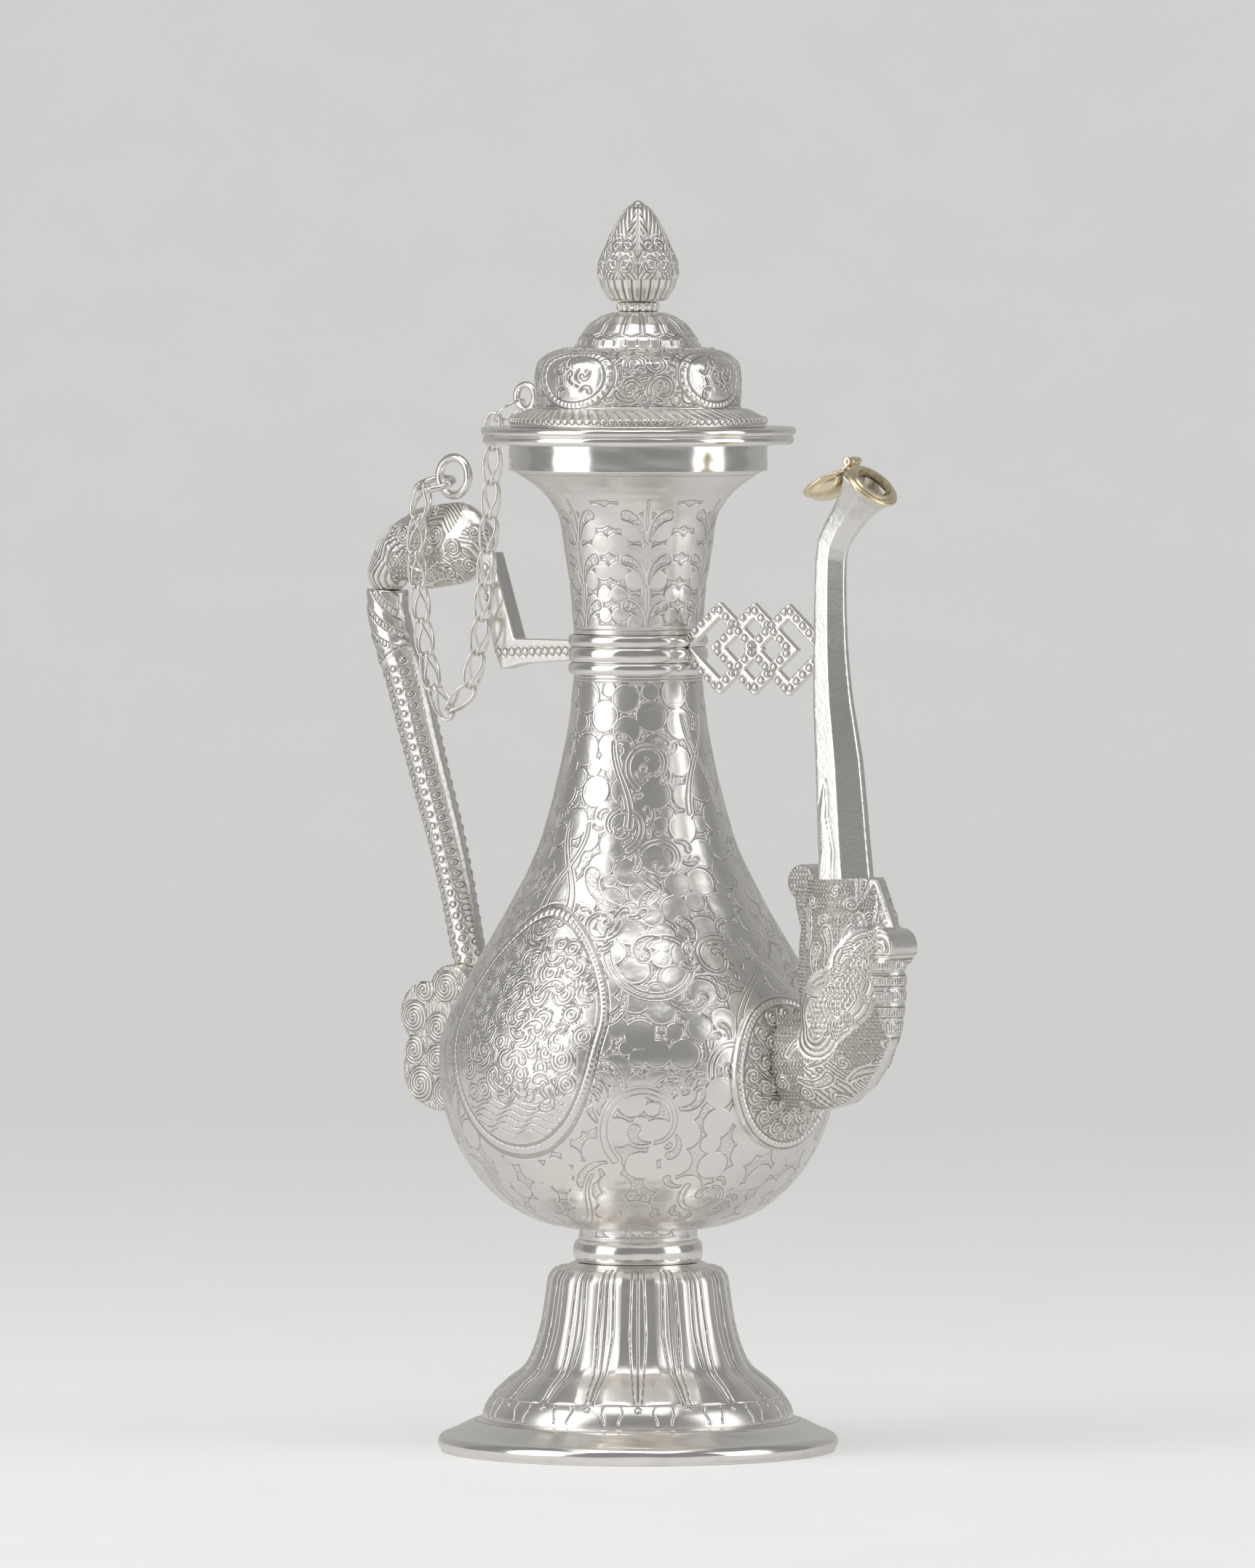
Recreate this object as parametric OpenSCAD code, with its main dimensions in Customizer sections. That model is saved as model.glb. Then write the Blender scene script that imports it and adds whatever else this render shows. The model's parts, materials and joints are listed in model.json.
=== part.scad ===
// Silver ewer with a bell foot, beast handle, standing spout, hinged spout cap and chained lid.
// Millimetres. Origin at the centre of the foot ring on the standing plane, +Z up the axis,
// +X towards the spout, handle at -X.

/* [Foot] */
// Outer radius of the foot ring
foot_r = 59.3; // [52:0.1:72]
// Height of the foot ring
rim_h = 9.8; // [6:0.1:14]
// Outer radius of the foot ring at its top
rim_top_r = 46.1; // [40:0.1:50]
// Height of the petal step
step_h = 6.5; // [4:0.1:10]
// Height of the bell above the petal step
bell_h = 39.5; // [30:0.1:60]
// Radius of the bell's waist
waist_r = 27.1; // [20:0.1:34]
// Height of the round collar under the body
collar_h = 6.7; // [5:0.1:10]
// Radius of the round collar
collar_r = 19.2; // [17.5:0.1:24]
// Wall of the foot
foot_wall = 1.6; // [1:0.1:3]

/* [Body] */
// Largest radius of the body
body_r = 59; // [50:0.1:72]
// Height of the body from its seat to the neck rings
body_h = 167.5; // [140:0.5:200]
// Height of the widest point above the body's seat
belly_h = 52.5; // [45:0.5:62]
// Radius of the body's flat seat
seat_r = 17.6; // [14:0.1:22]
// Outer radius of the neck tube
neck_r = 19; // [17:0.1:24]
// Wall of the body, the neck and the mouth
body_wall = 1.4; // [1:0.1:3]
// Diameter of one strainer hole behind the spout
strainer_d = 3.2; // [2:0.1:4]

/* [Neck rings] */
// Height of the wire below and above the band
wire_h = 3.6; // [2:0.1:5]
// Height of the half-round band
band_h = 4.6; // [3:0.1:8]
// How far the band stands out from the neck tube
band_out = 1.7; // [1:0.1:3]

/* [Mouth] */
// Height of the flared neck
flare_h = 48.4; // [35:0.1:60]
// Outer radius of the mouth cup
cup_r = 38.2; // [34:0.1:44]
// Height of the mouth cup
cup_h = 7.8; // [5:0.1:12]
// Outer radius of the mouth flange
flange_r = 46; // [42:0.1:52]
// Thickness of the mouth flange
flange_t = 2.7; // [1.5:0.1:4]

/* [Lid] */
// Thickness of the lid plate
plate_t = 2.3; // [1.5:0.1:4]
// How far the lid plate stands past the mouth flange
plate_lip = 0.6; // [0:0.1:2]
// Depth of the plug that drops into the mouth
plug_h = 8; // [5:0.1:12]
// Running clearance between plug and mouth
plug_fit = 0.5; // [0.3:0.05:1]
// Radius of the gadrooned ring on the lid
gadroon_r = 37.8; // [34:0.1:42]
// Height of the gadrooned ring
gadroon_h = 5.6; // [4:0.1:8]
// Radius of the lid drum
drum_r = 30.5; // [27:0.1:33.5]
// Height of the lid drum with its round shoulder
drum_h = 17.9; // [14:0.1:24]
// Radius of the dome on the drum
dome_r = 18.9; // [16:0.1:22]
// Height of the dome
dome_h = 10.5; // [8:0.1:14]
// Height of the collar under the bud
finial_h = 3; // [2:0.1:5]
// Largest radius of the bud
bud_r = 11.5; // [8:0.1:14]
// Height of the bud
bud_h = 30; // [22:0.1:38]
// Wall of the lid
lid_wall = 1.4; // [1:0.1:3]

/* [Handle] */
// Diameter of the grip at its thickest
grip_d = 12.6; // [9:0.1:14.5]
// How far the grip bows out past the body at its top
grip_reach = 39; // [34:0.1:50]
// Thickness of the beast head
head_t = 13; // [11:0.1:14]
// Side of the square arm from the beast's mouth to the neck
arm_side = 5.6; // [4:0.1:7]
// Thickness of the cloud root
root_t = 20; // [15:0.1:28]
// Outer diameter of the ring on the head
ring_d = 14; // [12.5:0.1:16]
// Wire of the ring on the head
ring_wire = 2.7; // [2:0.1:3]

/* [Spout] */
// Gap between body and spout tube at the neck rings, measured from the belly's radius
spout_reach = 15.5; // [13:0.1:24]
// Half depth of the tube at its foot
tube_foot = 7.6; // [6:0.1:9]
// Half depth of the tube at its top bend
tube_top = 4.6; // [4.2:0.1:6]
// Wall of the spout
spout_wall = 1.1; // [0.8:0.05:1.4]
// Radius of the spout's mouth ring
mouth_r = 8.5; // [7.5:0.1:10]
// Tilt of the mouth ring from level
mouth_tilt = 42; // [30:1:50]
// Radius of the medallion at the spout's root
medal_r = 23; // [20:0.1:28]
// How far the medallion stands out from the body
medal_t = 2; // [1:0.1:3]
// Height of the knot brace
knot_h = 27.2; // [22:0.1:34]
// Half width of one diamond of the knot
knot_half = 16.7; // [14:0.1:19]
// Width of one bar of the knot
knot_bar = 3.5; // [2.4:0.1:4]
// Thickness of the knot brace
knot_t = 2.3; // [1.5:0.1:4]

/* [Chain] */
// Number of chain links, without the end ring
links = 16; // [15:1:18]
// Distance between the hinges of one link
pitch = 10.2; // [9.6:0.1:11]
// Wire of the chain
chain_wire = 1.1; // [0.8:0.05:1.2]
// Outer diameter of the jump ring
jump_d = 13.4; // [12.4:0.1:14.4]
// Wire of the jump ring
jump_wire = 2.3; // [1.6:0.1:2.4]
// Outer diameter of the eye on the lid
eye_d = 9.3; // [8:0.1:11]
// Wire of the eye on the lid
eye_wire = 2.2; // [1.6:0.1:2.4]

/* [Hidden] */
$fn = 96;

SILVER = [0.86, 0.84, 0.80];
BRIGHT = [0.93, 0.91, 0.87];
DARK = [0.55, 0.55, 0.55];
GILT = [0.85, 0.72, 0.45];

// Heights of the seats, from the standing plane up
z_step = rim_h;
z_bell = z_step + step_h;
z_collar = z_bell + bell_h;
z_body = z_collar + collar_h;
z_belly = z_body + belly_h;
z_wire = z_body + body_h;
z_band = z_wire + wire_h;
z_wire2 = z_band + band_h;
z_flare = z_wire2 + wire_h;
z_cup = z_flare + flare_h;
z_flange = z_cup + cup_h;
z_plate = z_flange + flange_t;
z_gadroon = z_plate + plate_t;
z_drum = z_gadroon + gadroon_h;
z_dome = z_drum + drum_h;
z_finial = z_dome + dome_h;
z_bud = z_finial + finial_h;

bore_r = cup_r - body_wall - 0.2;
plug_r = bore_r - plug_fit;
plate_r = flange_r + plate_lip;
stem_r = 2;
washer_r = 5;
washer_t = 1.4;

// Where the handle's and the spout's lines go: they hold to the belly at the foot, to the rings at the top
z_arm = z_band + band_h / 2 + 0.8;
hold_z = z_arm - z_belly;
x_tube = body_r + spout_reach;

// ---------- curves ----------

// One point of a Catmull-Rom curve through four points
function cr(a, b, c, d, t) =
    0.5 * (2 * b + (c - a) * t + (2 * a - 5 * b + 4 * c - d) * t * t + (3 * b - a - 3 * c + d) * t * t * t);

// A smooth open curve through a list of points
function smooth(p, steps) = [
    for (i = [0:len(p) - 2], s = [0:steps - 1])
        cr(p[max(i - 1, 0)], p[i], p[i + 1], p[min(i + 2, len(p) - 1)], s / steps),
    p[len(p) - 1]
];

// A quarter of an ellipse from corner a to corner b, leaving a along the first axis
function quarter(a, b, steps, upright = false) = [
    for (i = [0:steps])
        let (t = 90 * i / steps)
        upright
            ? [a[0] + (b[0] - a[0]) * (1 - cos(t)), a[1] + (b[1] - a[1]) * sin(t)]
            : [a[0] + (b[0] - a[0]) * sin(t), a[1] + (b[1] - a[1]) * (1 - cos(t))]
];

function backwards(p) = [for (i = [len(p) - 1:-1:0]) p[i]];

function unit(v) = v / norm(v);

// ---------- swept tubes ----------

// Closed skin over rings of points that all have the same number of sides
function skin_faces(rings, sides, closed) = concat(
    [
        for (i = [0:rings - (closed ? 1 : 2)], j = [0:sides - 1], half = [0, 1])
            let (
                k = (i + 1) % rings,
                m = (j + 1) % sides,
                a = i * sides + j,
                b = i * sides + m,
                c = k * sides + m,
                d = k * sides + j
            )
            half == 0 ? [a, c, b] : [a, d, c]
    ],
    closed ? [] : [
        [for (j = [0:sides - 1]) j],
        [for (j = [sides - 1:-1:0]) (rings - 1) * sides + j]
    ]
);

module skin(rings, closed = false) {
    sides = len(rings[0]);
    polyhedron([for (r = rings) each r], skin_faces(len(rings), sides, closed), convexity = 6);
}

// The direction of a path at point i
function heading(p, i) = unit(p[min(i + 1, len(p) - 1)] - p[max(i - 1, 0)]);

// Rings across a path in the XZ plane; each path point is [x, z, half depth, half width]
function rings_xz(p, outline) = [
    for (i = [0:len(p) - 1])
        let (
            line = [for (q = p) [q[0], q[1]]],
            h = heading(line, i),
            n = [h[1], -h[0]]
        )
        [for (o = outline) [p[i][0] + n[0] * o[0] * p[i][2], o[1] * p[i][3], p[i][1] + n[1] * o[0] * p[i][2]]]
];

function round_outline(sides) = [for (i = [0:sides - 1]) [cos(360 * i / sides), sin(360 * i / sides)]];

// The tube's section: narrow front, wide bevels, flat sides and a flat back
TUBE_OUTLINE = [
    [1, -0.16], [1, 0.16], [0.28, 0.88], [-0.76, 0.88], [-1, 0.6], [-1, -0.6], [-0.76, -0.88], [0.28, -0.88]
];

// ---------- foot ----------

module turned(outline) rotate_extrude() polygon(outline);

module foot_rim() {
    bead = 2.6;
    inner = foot_r - 2 * bead;
    color(SILVER) turned(concat(
        [[inner, 0], [foot_r - bead * 0.35, 0]],
        [for (t = [-50:20:70]) [foot_r - bead + bead * cos(t), bead + bead * sin(t)]],
        smooth([[foot_r - bead * 1.2, rim_h * 0.56], [foot_r - bead * 2, rim_h * 0.66],
                [rim_top_r + 4, rim_h * 0.86], [rim_top_r, rim_h]], 3),
        [[rim_top_r - foot_wall, rim_h], [rim_top_r - foot_wall + 1, rim_h - foot_wall - 0.6],
         [inner, bead]]
    ));
}

bell_foot_r = rim_top_r - 2.9;

module foot_step() {
    color(SILVER) turned(concat(
        [[rim_top_r, z_step]],
        [for (t = [0:0.25:1]) [rim_top_r - (rim_top_r - bell_foot_r) * t * t, z_step + step_h * t]],
        [[bell_foot_r - foot_wall, z_bell], [rim_top_r - foot_wall, z_step]]
    ));
}

// The bell's outline shares: [share of the way from waist to foot, share of the height]
BELL = [[1, 0], [0.7, 0.116], [0.385, 0.22], [0.205, 0.365], [0.08, 0.554], [0, 0.76], [-0.05, 0.886],
        [-0.15, 0.95]];

module foot_bell() {
    out = smooth([for (b = BELL) [waist_r + (bell_foot_r - waist_r) * b[0], z_bell + bell_h * b[1]]], 3);
    shoulder = [collar_r + 0.1, z_collar];
    color(SILVER) turned(concat(
        out, [shoulder, [0, z_collar], [0, z_collar - foot_wall * 1.4]],
        [for (p = backwards(out)) [p[0] - foot_wall, p[1] - (p[1] > z_bell + 1 ? foot_wall : 0)]]
    ));
}

module foot_collar() {
    bulge = collar_h / 2;
    color(SILVER) turned(concat(
        [[0, z_collar]],
        [for (t = [-90:15:90]) [collar_r - 1.6 + 1.6 * cos(t), z_collar + bulge + bulge * sin(t)]],
        [[0, z_body]]
    ));
}

// ---------- body and neck ----------

// The body's upper outline: [share of the way from neck to belly, share of the height above the belly]
SHOULDER = [
    [1, 0], [0.965, 0.087], [0.76, 0.234], [0.485, 0.4], [0.272, 0.55], [0.143, 0.7], [0.045, 0.86], [0, 1]
];
body_foot_h = 3.5;

function body_outline(out) = concat(
    quarter([seat_r + out * 0.4, z_body + body_foot_h - out], [body_r + out, z_belly], 16),
    smooth([
        for (s = SHOULDER) [neck_r + (body_r - neck_r) * s[0] + out, z_belly + (z_wire - z_belly) * s[1]]
    ], 4)
);

module body_solid(out) turned(concat([[0, z_body + body_foot_h - out]], body_outline(out), [[0, z_wire]]));

module body_bowl() {
    outer = body_outline(0);
    color(SILVER) difference() {
        turned(concat(
            [[0, z_body], [seat_r, z_body]], outer,
            [[neck_r, z_flare], [neck_r - body_wall, z_flare]],
            backwards(body_outline(-body_wall)), [[0, z_body + body_foot_h + body_wall]]
        ));
        for (ring = [0, 1], i = [0:(ring == 0 ? 0 : 5)])
            translate([body_r - 12, 0, z_root])
                rotate([60 * i, 0, 0]) translate([0, 0, ring * strainer_d * 1.7])
                    rotate([0, 90, 0]) cylinder(d = strainer_d, h = 24, $fn = 24);
    }
}

// A ring around the neck tube with a round outside
module neck_ring(z, h, out) {
    turned(concat(
        [[neck_r, z]],
        [for (t = [-80:20:80]) [neck_r + out * (0.35 + 0.65 * cos(t)), z + h / 2 + h / 2 * sin(t)]],
        [[neck_r, z + h]]
    ));
}

module neck_wire_lower() color(BRIGHT) neck_ring(z_wire, wire_h, band_out);
module neck_band() color(BRIGHT) neck_ring(z_band, band_h, band_out);
module neck_wire_upper() color(BRIGHT) neck_ring(z_wire2, wire_h, band_out);

// Outside of the ring stack, which the arm and the brace butt against
module ring_stack() {
    translate([0, 0, z_wire]) cylinder(r = neck_r + band_out, h = 2 * wire_h + band_h);
}

FLARE = [[0, 0], [0.035, 0.16], [0.06, 0.29], [0.12, 0.43], [0.17, 0.56], [0.225, 0.69], [0.29, 0.76],
         [0.51, 0.87], [0.74, 0.94], [1, 1]];

module neck_flare() {
    top_r = cup_r - 0.8;
    out = smooth([for (f = FLARE) [neck_r + (top_r - neck_r) * f[0], z_flare + flare_h * f[1]]], 2);
    color(SILVER) turned(concat(out, [for (p = backwards(out)) [p[0] - body_wall, p[1]]]));
}

module mouth_cup() {
    color(SILVER) translate([0, 0, z_cup]) difference() {
        cylinder(r = cup_r, h = cup_h);
        translate([0, 0, -1]) cylinder(r = bore_r, h = cup_h + 2);
    }
}

module rounded_disc(r, t, bore) {
    turned(concat(
        [[bore, 0]],
        [for (a = [-70:35:70]) [r - t * 0.45 + t * 0.45 * cos(a), t / 2 + t / 2 * sin(a) / sin(70)]],
        [[bore, t]]
    ));
}

module mouth_rim() color(BRIGHT) translate([0, 0, z_flange]) rounded_disc(flange_r, flange_t, bore_r);

// ---------- lid ----------

module lid_plate() color(BRIGHT) translate([0, 0, z_plate]) rounded_disc(plate_r, plate_t, drum_r - lid_wall);

module lid_plug() {
    color(BRIGHT) translate([0, 0, z_plate - plug_h]) difference() {
        cylinder(r = plug_r, h = plug_h);
        translate([0, 0, -1]) cylinder(r = plug_r - lid_wall, h = plug_h + 2);
    }
}

module lid_base_ring() {
    color(SILVER) turned([
        [drum_r - lid_wall, z_gadroon], [gadroon_r - 0.3, z_gadroon], [gadroon_r, z_gadroon + 0.4],
        [gadroon_r, z_gadroon + gadroon_h * 0.42], [drum_r + 3.4, z_gadroon + gadroon_h * 0.8],
        [drum_r + 0.6, z_drum], [drum_r - lid_wall, z_drum]
    ]);
}

module lid_drum() {
    shoulder = 6.5;
    hole = dome_r - 1.8;
    out = concat(
        [[drum_r, z_drum]],
        quarter([drum_r, z_dome - shoulder], [dome_r + 0.6, z_dome], 6, true)
    );
    color(SILVER) turned(concat(
        out, [[hole, z_dome], [hole, z_dome - lid_wall]],
        quarter([dome_r + 0.6, z_dome - lid_wall], [drum_r - lid_wall, z_dome - shoulder], 6),
        [[drum_r - lid_wall, z_drum]]
    ));
}

DOME = [[1, 0], [0.945, 0.23], [0.86, 0.41], [0.75, 0.65], [0.57, 0.86], [0.4, 0.96]];

module lid_dome() {
    out = [for (d = DOME) [dome_r * d[0], z_dome + dome_h * d[1]]];
    color(SILVER) turned(concat(
        out, [[washer_r + 1.2, z_finial], [stem_r, z_finial], [stem_r, z_finial - lid_wall],
              [washer_r + 0.6, z_finial - lid_wall]],
        [for (p = backwards(out)) [p[0] - lid_wall - 0.2, max(z_dome, p[1] - lid_wall)]]
    ));
}

module finial_collar() {
    color(BRIGHT) turned(concat(
        [[stem_r, z_finial]],
        [for (t = [-80:20:80]) [4.7 + 1.5 * cos(t), z_finial + finial_h / 2 + finial_h / 2 * sin(t)]],
        [[stem_r, z_bud]]
    ));
}

BUD = [[0.5, 0], [0.71, 0.035], [0.9, 0.145], [1, 0.28], [0.975, 0.39], [0.9, 0.46], [0.79, 0.56], [0.66, 0.67],
       [0.5, 0.79], [0.3, 0.9], [0.1, 0.98], [0, 1]];
stem_grip = 8;

module finial_bud() {
    color(SILVER) difference() {
        turned(concat([[0, z_bud]], [for (b = BUD) [bud_r * b[0], z_bud + bud_h * b[1]]]));
        translate([0, 0, z_bud - 1]) cylinder(r = stem_r, h = stem_grip + 1);
    }
}

module finial_stem() {
    low = z_finial - lid_wall - washer_t;
    color(GILT) translate([0, 0, low - 1.2]) cylinder(r = stem_r, h = z_bud + stem_grip - low + 1.2);
}

module finial_washer() {
    color(GILT) translate([0, 0, z_finial - lid_wall - washer_t]) difference() {
        cylinder(r = washer_r, h = washer_t);
        translate([0, 0, -1]) cylinder(r = stem_r, h = washer_t + 2);
    }
}

// A wire ring standing in the XZ plane
module wire_ring(d, wire) {
    rotate([90, 0, 0]) rotate_extrude($fn = 48) translate([(d - wire) / 2, 0]) circle(d = wire, $fn = 24);
}

x_eye = -(plate_r - 3);
z_eye = z_gadroon + 3.9 + eye_d / 2;

module lid_eye() {
    color(BRIGHT) {
        translate([x_eye, 0, z_eye]) wire_ring(eye_d, eye_wire);
        translate([x_eye, 0, z_gadroon])
            cylinder(d = eye_wire, h = z_eye - eye_d / 2 + eye_wire / 2 - z_gadroon);
    }
}

// ---------- handle ----------

// Handle lines are shares: x holds to the belly at the foot and to the reach at the top
function hx(x, s) = -(body_r + x + (grip_reach - 39) * s);
function hz(s) = z_belly + hold_z * s;

grip_k = grip_d / 12.6;
GRIP_PATH = smooth([
    for (g = [[5, 0.2, 5.1], [8, 0.286, 5.2], [11.5, 0.404, 5.3], [16.9, 0.553, 5.7], [22.4, 0.684, 5.9],
              [28.2, 0.833, 6.2], [33, 0.95, 6.3], [37.4, 1.035, 6.2], [39, 1.1, 6.1], [39, 1.135, 6.1]])
        [hx(g[0], g[1]), hz(g[1]), g[2] * grip_k, g[2] * grip_k]
], 2);

module handle_grip() {
    color(SILVER) difference() {
        skin(rings_xz(GRIP_PATH, round_outline(16)));
        handle_root_shape();
    }
}

// The beast's head sits on the end of the grip; places are measured from the grip's end
grip_end = GRIP_PATH[len(GRIP_PATH) - 1];
module ball(x, z, r, t) {
    translate([grip_end[0] + x, 0, grip_end[1] + z]) scale([1, t / (2 * r), 1]) sphere(r = r, $fn = 24);
}

module handle_head() {
    neck = grip_d;
    color(SILVER) difference() {
        union() {
            hull() {
                ball(0.3, 5, 6.4, neck);
                ball(4.5, 12, 7.4, neck);
            }
            hull() {
                ball(4.5, 12, 7.4, neck);
                ball(16, 12.8, 12.4, head_t);
            }
            hull() {
                ball(16, 12.8, 12.4, head_t);
                ball(28, 14.4, 12.3, head_t);
                ball(33.4, 15.4, 7.8, head_t * 0.8);
            }
        }
        translate([grip_end[0] - 20, -20, grip_end[1] - 30]) cube([45, 40, 30]);
        handle_arm_shape();
    }
}

x_corner = -(neck_r + band_out + 28.5);
z_mouth = grip_end[1] + 12;
x_mouth = grip_end[0] + 40.5;

module handle_arm_shape() {
    half = arm_side / 2;
    translate([0, half, 0]) rotate([90, 0, 0]) linear_extrude(arm_side) polygon([
        [-neck_r, z_arm - half], [-neck_r, z_arm + half], [x_corner + half + 0.6, z_arm + half],
        [x_mouth + half, z_mouth], [x_mouth - half, z_mouth], [x_corner - half - 1.6, z_arm - half + 1.4],
        [x_corner - half + 1.2, z_arm - half - 3.6], [x_corner + half + 3.4, z_arm - half - 1.8]
    ]);
}

module handle_arm() {
    color(SILVER) difference() {
        handle_arm_shape();
        ring_stack();
    }
}

z_root = z_belly - 1;
root_h = 38;

module handle_root_shape() {
    x0 = -body_r;
    translate([0, root_t / 2, 0]) rotate([90, 0, 0]) linear_extrude(root_t)
        offset(r = 2, $fn = 24) offset(delta = -2) union() {
            translate([x0 - 10, z_root - 2]) circle(r = 14, $fn = 48);
            translate([x0 - 16, z_root + 13]) circle(r = 9.5, $fn = 48);
            translate([x0 - 6, z_root + 20]) circle(r = 8, $fn = 48);
            translate([x0 - 14, z_root - 4]) circle(r = 10.5, $fn = 48);
            translate([x0 - 3, z_root - 14]) square([21, root_h]);
        }
}

module handle_root() {
    color(SILVER) difference() {
        handle_root_shape();
        body_solid(0);
    }
}

x_ring = grip_end[0] + 26.2;
z_ring = grip_end[1] + 28.4 + ring_d / 2 - ring_wire * 0.4;

module handle_ring() {
    color(BRIGHT) difference() {
        translate([x_ring, 0, z_ring]) wire_ring(ring_d, ring_wire);
        hull() {
            ball(16, 12.8, 12.4, head_t);
            ball(28, 14.4, 12.3, head_t);
            ball(33.4, 15.4, 7.8, head_t * 0.8);
        }
    }
}

// ---------- spout ----------

module spout_medallion() {
    color(SILVER) difference() {
        intersection() {
            body_solid(medal_t);
            translate([body_r - 25, 0, z_root]) rotate([0, 90, 0]) cylinder(r = medal_r, h = 40);
        }
        body_solid(0);
        translate([body_r - 26, 0, z_root]) rotate([0, 90, 0]) cylinder(r = elbow_bore, h = 42);
    }
}

elbow_bore = 7.5;
z_tube = z_root + 69;

// The beast's elbow: [distance past the belly, height above the root, half depth, half width]
ELBOW = [[-6, 3.5, 13.4, 11.5], [3, 3.3, 13.6, 11.5], [11, 3.4, 14.2, 11], [18, 7, 15.6, 10.6],
         [22, 16, 17.6, 10.6], [22.8, 28, 18.4, 10.6], [22.2, 40, 17.6, 10.4], [21.4, 50, 14.5, 10],
         [21, 58, 11.6, 9.2]];

function elbow_path(inset) = smooth([
    for (e = ELBOW) [body_r + e[0], z_root + e[1], e[2] - inset, e[3] - inset]
], 2);

module elbow_solid() skin(rings_xz(elbow_path(0), round_outline(24)));

// Round curls of the elbow in x and z: the knob at its outer edge, and the tongue over its top
KNOB = [body_r + 37, z_root + 38.5];
TONGUE_TIP = [body_r + 6.5, z_root + 56.5];
TONGUE_ROOT = [body_r + 12, z_root + 47];

// A round bar across the elbow
module curl(at, r, width)
    translate([at[0], width / 2, at[1]]) rotate([90, 0, 0]) cylinder(r = r, h = width, $fn = 32);

module spout_elbow() {
    color(SILVER) difference() {
        union() {
            elbow_solid();
            curl(KNOB, 5.4, 12);
            curl(TONGUE_TIP, 5.2, 8);
            hull() {
                curl(TONGUE_TIP, 4, 6);
                curl(TONGUE_ROOT, 6, 10);
            }
        }
        body_solid(medal_t);
        skin(rings_xz(elbow_bore_path(), round_outline(16)));
        translate([0, 0, 0.01]) skin(rings_xz(tube_path(0), TUBE_OUTLINE));
    }
}

function elbow_bore_path() = smooth([
    for (e = concat([[-12, 0, 0, 0]], ELBOW, [[21, 66, 0, 0]]))
        let (r = e[1] > 56 ? 5.6 : elbow_bore - 1)
        [body_r + e[0], z_root + (e[0] < 3 ? 0 : e[1]), r, r]
], 2);

z_bend = z_arm + 33;
rim_t = 2;
// The tube's end: [distance before the mouth, shift in x, shift in z, half width across, half width along]
TUBE_END = [
    [15.6, 1.2, 1, tube_top * 1.06, tube_top * 1.12], [9, 0, 0, tube_top * 1.2, tube_top * 1.3],
    [4.6, 0, 0, tube_top * 1.42, tube_top * 1.55], [rim_t, 0, 0, mouth_r * 0.9, mouth_r * 0.98]
];
// The standing tube: [x past the tube's line, share of the height from its foot to the bend, share of taper]
TUBE = [[6.9, -0.16, 1.08], [5.5, 0, 1], [3.6, 0.263, 0.77], [1.2, 0.457, 0.43], [0, 0.65, 0.14], [-0.2, 0.88, 0],
        [0.9, 1, 0]];

mouth_x = x_tube + 15.2;
mouth_z = z_bend + 17.8;
mouth_n = [sin(mouth_tilt), cos(mouth_tilt)];

function tube_path(inset) = smooth(concat(
    [
        for (t = TUBE)
            let (r = tube_top + (tube_foot - tube_top) * t[2] - inset)
            [x_tube + t[0], z_tube + (z_bend - z_tube) * t[1], r, r]
    ],
    [
        for (p = TUBE_END)
            [mouth_x - mouth_n[0] * p[0] + p[1], mouth_z - mouth_n[1] * p[0] + p[2], p[3] - inset, p[4] - inset]
    ]
), 2);

function longer(p, by) =
    let (n = len(p) - 1, h = heading([for (q = p) [q[0], q[1]]], n))
    concat([[p[0][0], p[0][1] - by, p[0][2], p[0][3]]], p,
           [[p[n][0] + h[0] * by, p[n][1] + h[1] * by, p[n][2], p[n][3]]]);

module spout_tube() {
    color(DARK) difference() {
        skin(rings_xz(tube_path(0), TUBE_OUTLINE));
        skin(rings_xz(longer(tube_path(spout_wall), 1), TUBE_OUTLINE));
    }
}

// Puts a child that is drawn around +Z on the spout's mouth
module at_mouth() translate([mouth_x, 0, mouth_z]) rotate([0, mouth_tilt, 0]) children();

spout_bore = 5.6;
rim_bead = 1.3;

// The cap's hinge, behind the mouth's upper edge
hinge_d = 2.6;
hinge_w = 2.8;
pin_d = 1;
hinge_out = 1.8;
hinge_up = -0.7;
hinge_gap = 0.25;
cap_open = -250;

module spout_rim() {
    color(GILT) at_mouth() difference() {
        union() {
            translate([0, 0, -rim_t]) cylinder(r = mouth_r - rim_bead * 0.5, h = rim_t - 0.1);
            translate([0, 0, -rim_t / 2]) rotate_extrude() translate([mouth_r - rim_bead / 2, 0])
                circle(d = rim_bead, $fn = 24);
            translate([0, 0, -0.2]) cylinder(r = spout_bore + 0.9, h = 0.6);
            translate([-mouth_r - hinge_out - 1, -hinge_w / 2, -rim_t + 0.1])
                cube([hinge_out + 1.4, hinge_w, rim_t - 0.6]);
            translate([-mouth_r - hinge_out, hinge_w / 2, hinge_up])
                rotate([90, 0, 0]) cylinder(d = hinge_d, h = hinge_w);
        }
        translate([0, 0, -rim_t - 1]) cylinder(r = spout_bore, h = rim_t + 3);
        translate([-mouth_r - hinge_out, 3, hinge_up]) rotate([90, 0, 0]) cylinder(d = pin_d, h = 6, $fn = 24);
    }
}

module spout_cap_pin() {
    color(BRIGHT) at_mouth() translate([-mouth_r - hinge_out, 3.3, hinge_up]) rotate([90, 0, 0])
        cylinder(d = pin_d, h = 6.6, $fn = 24);
}

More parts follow.
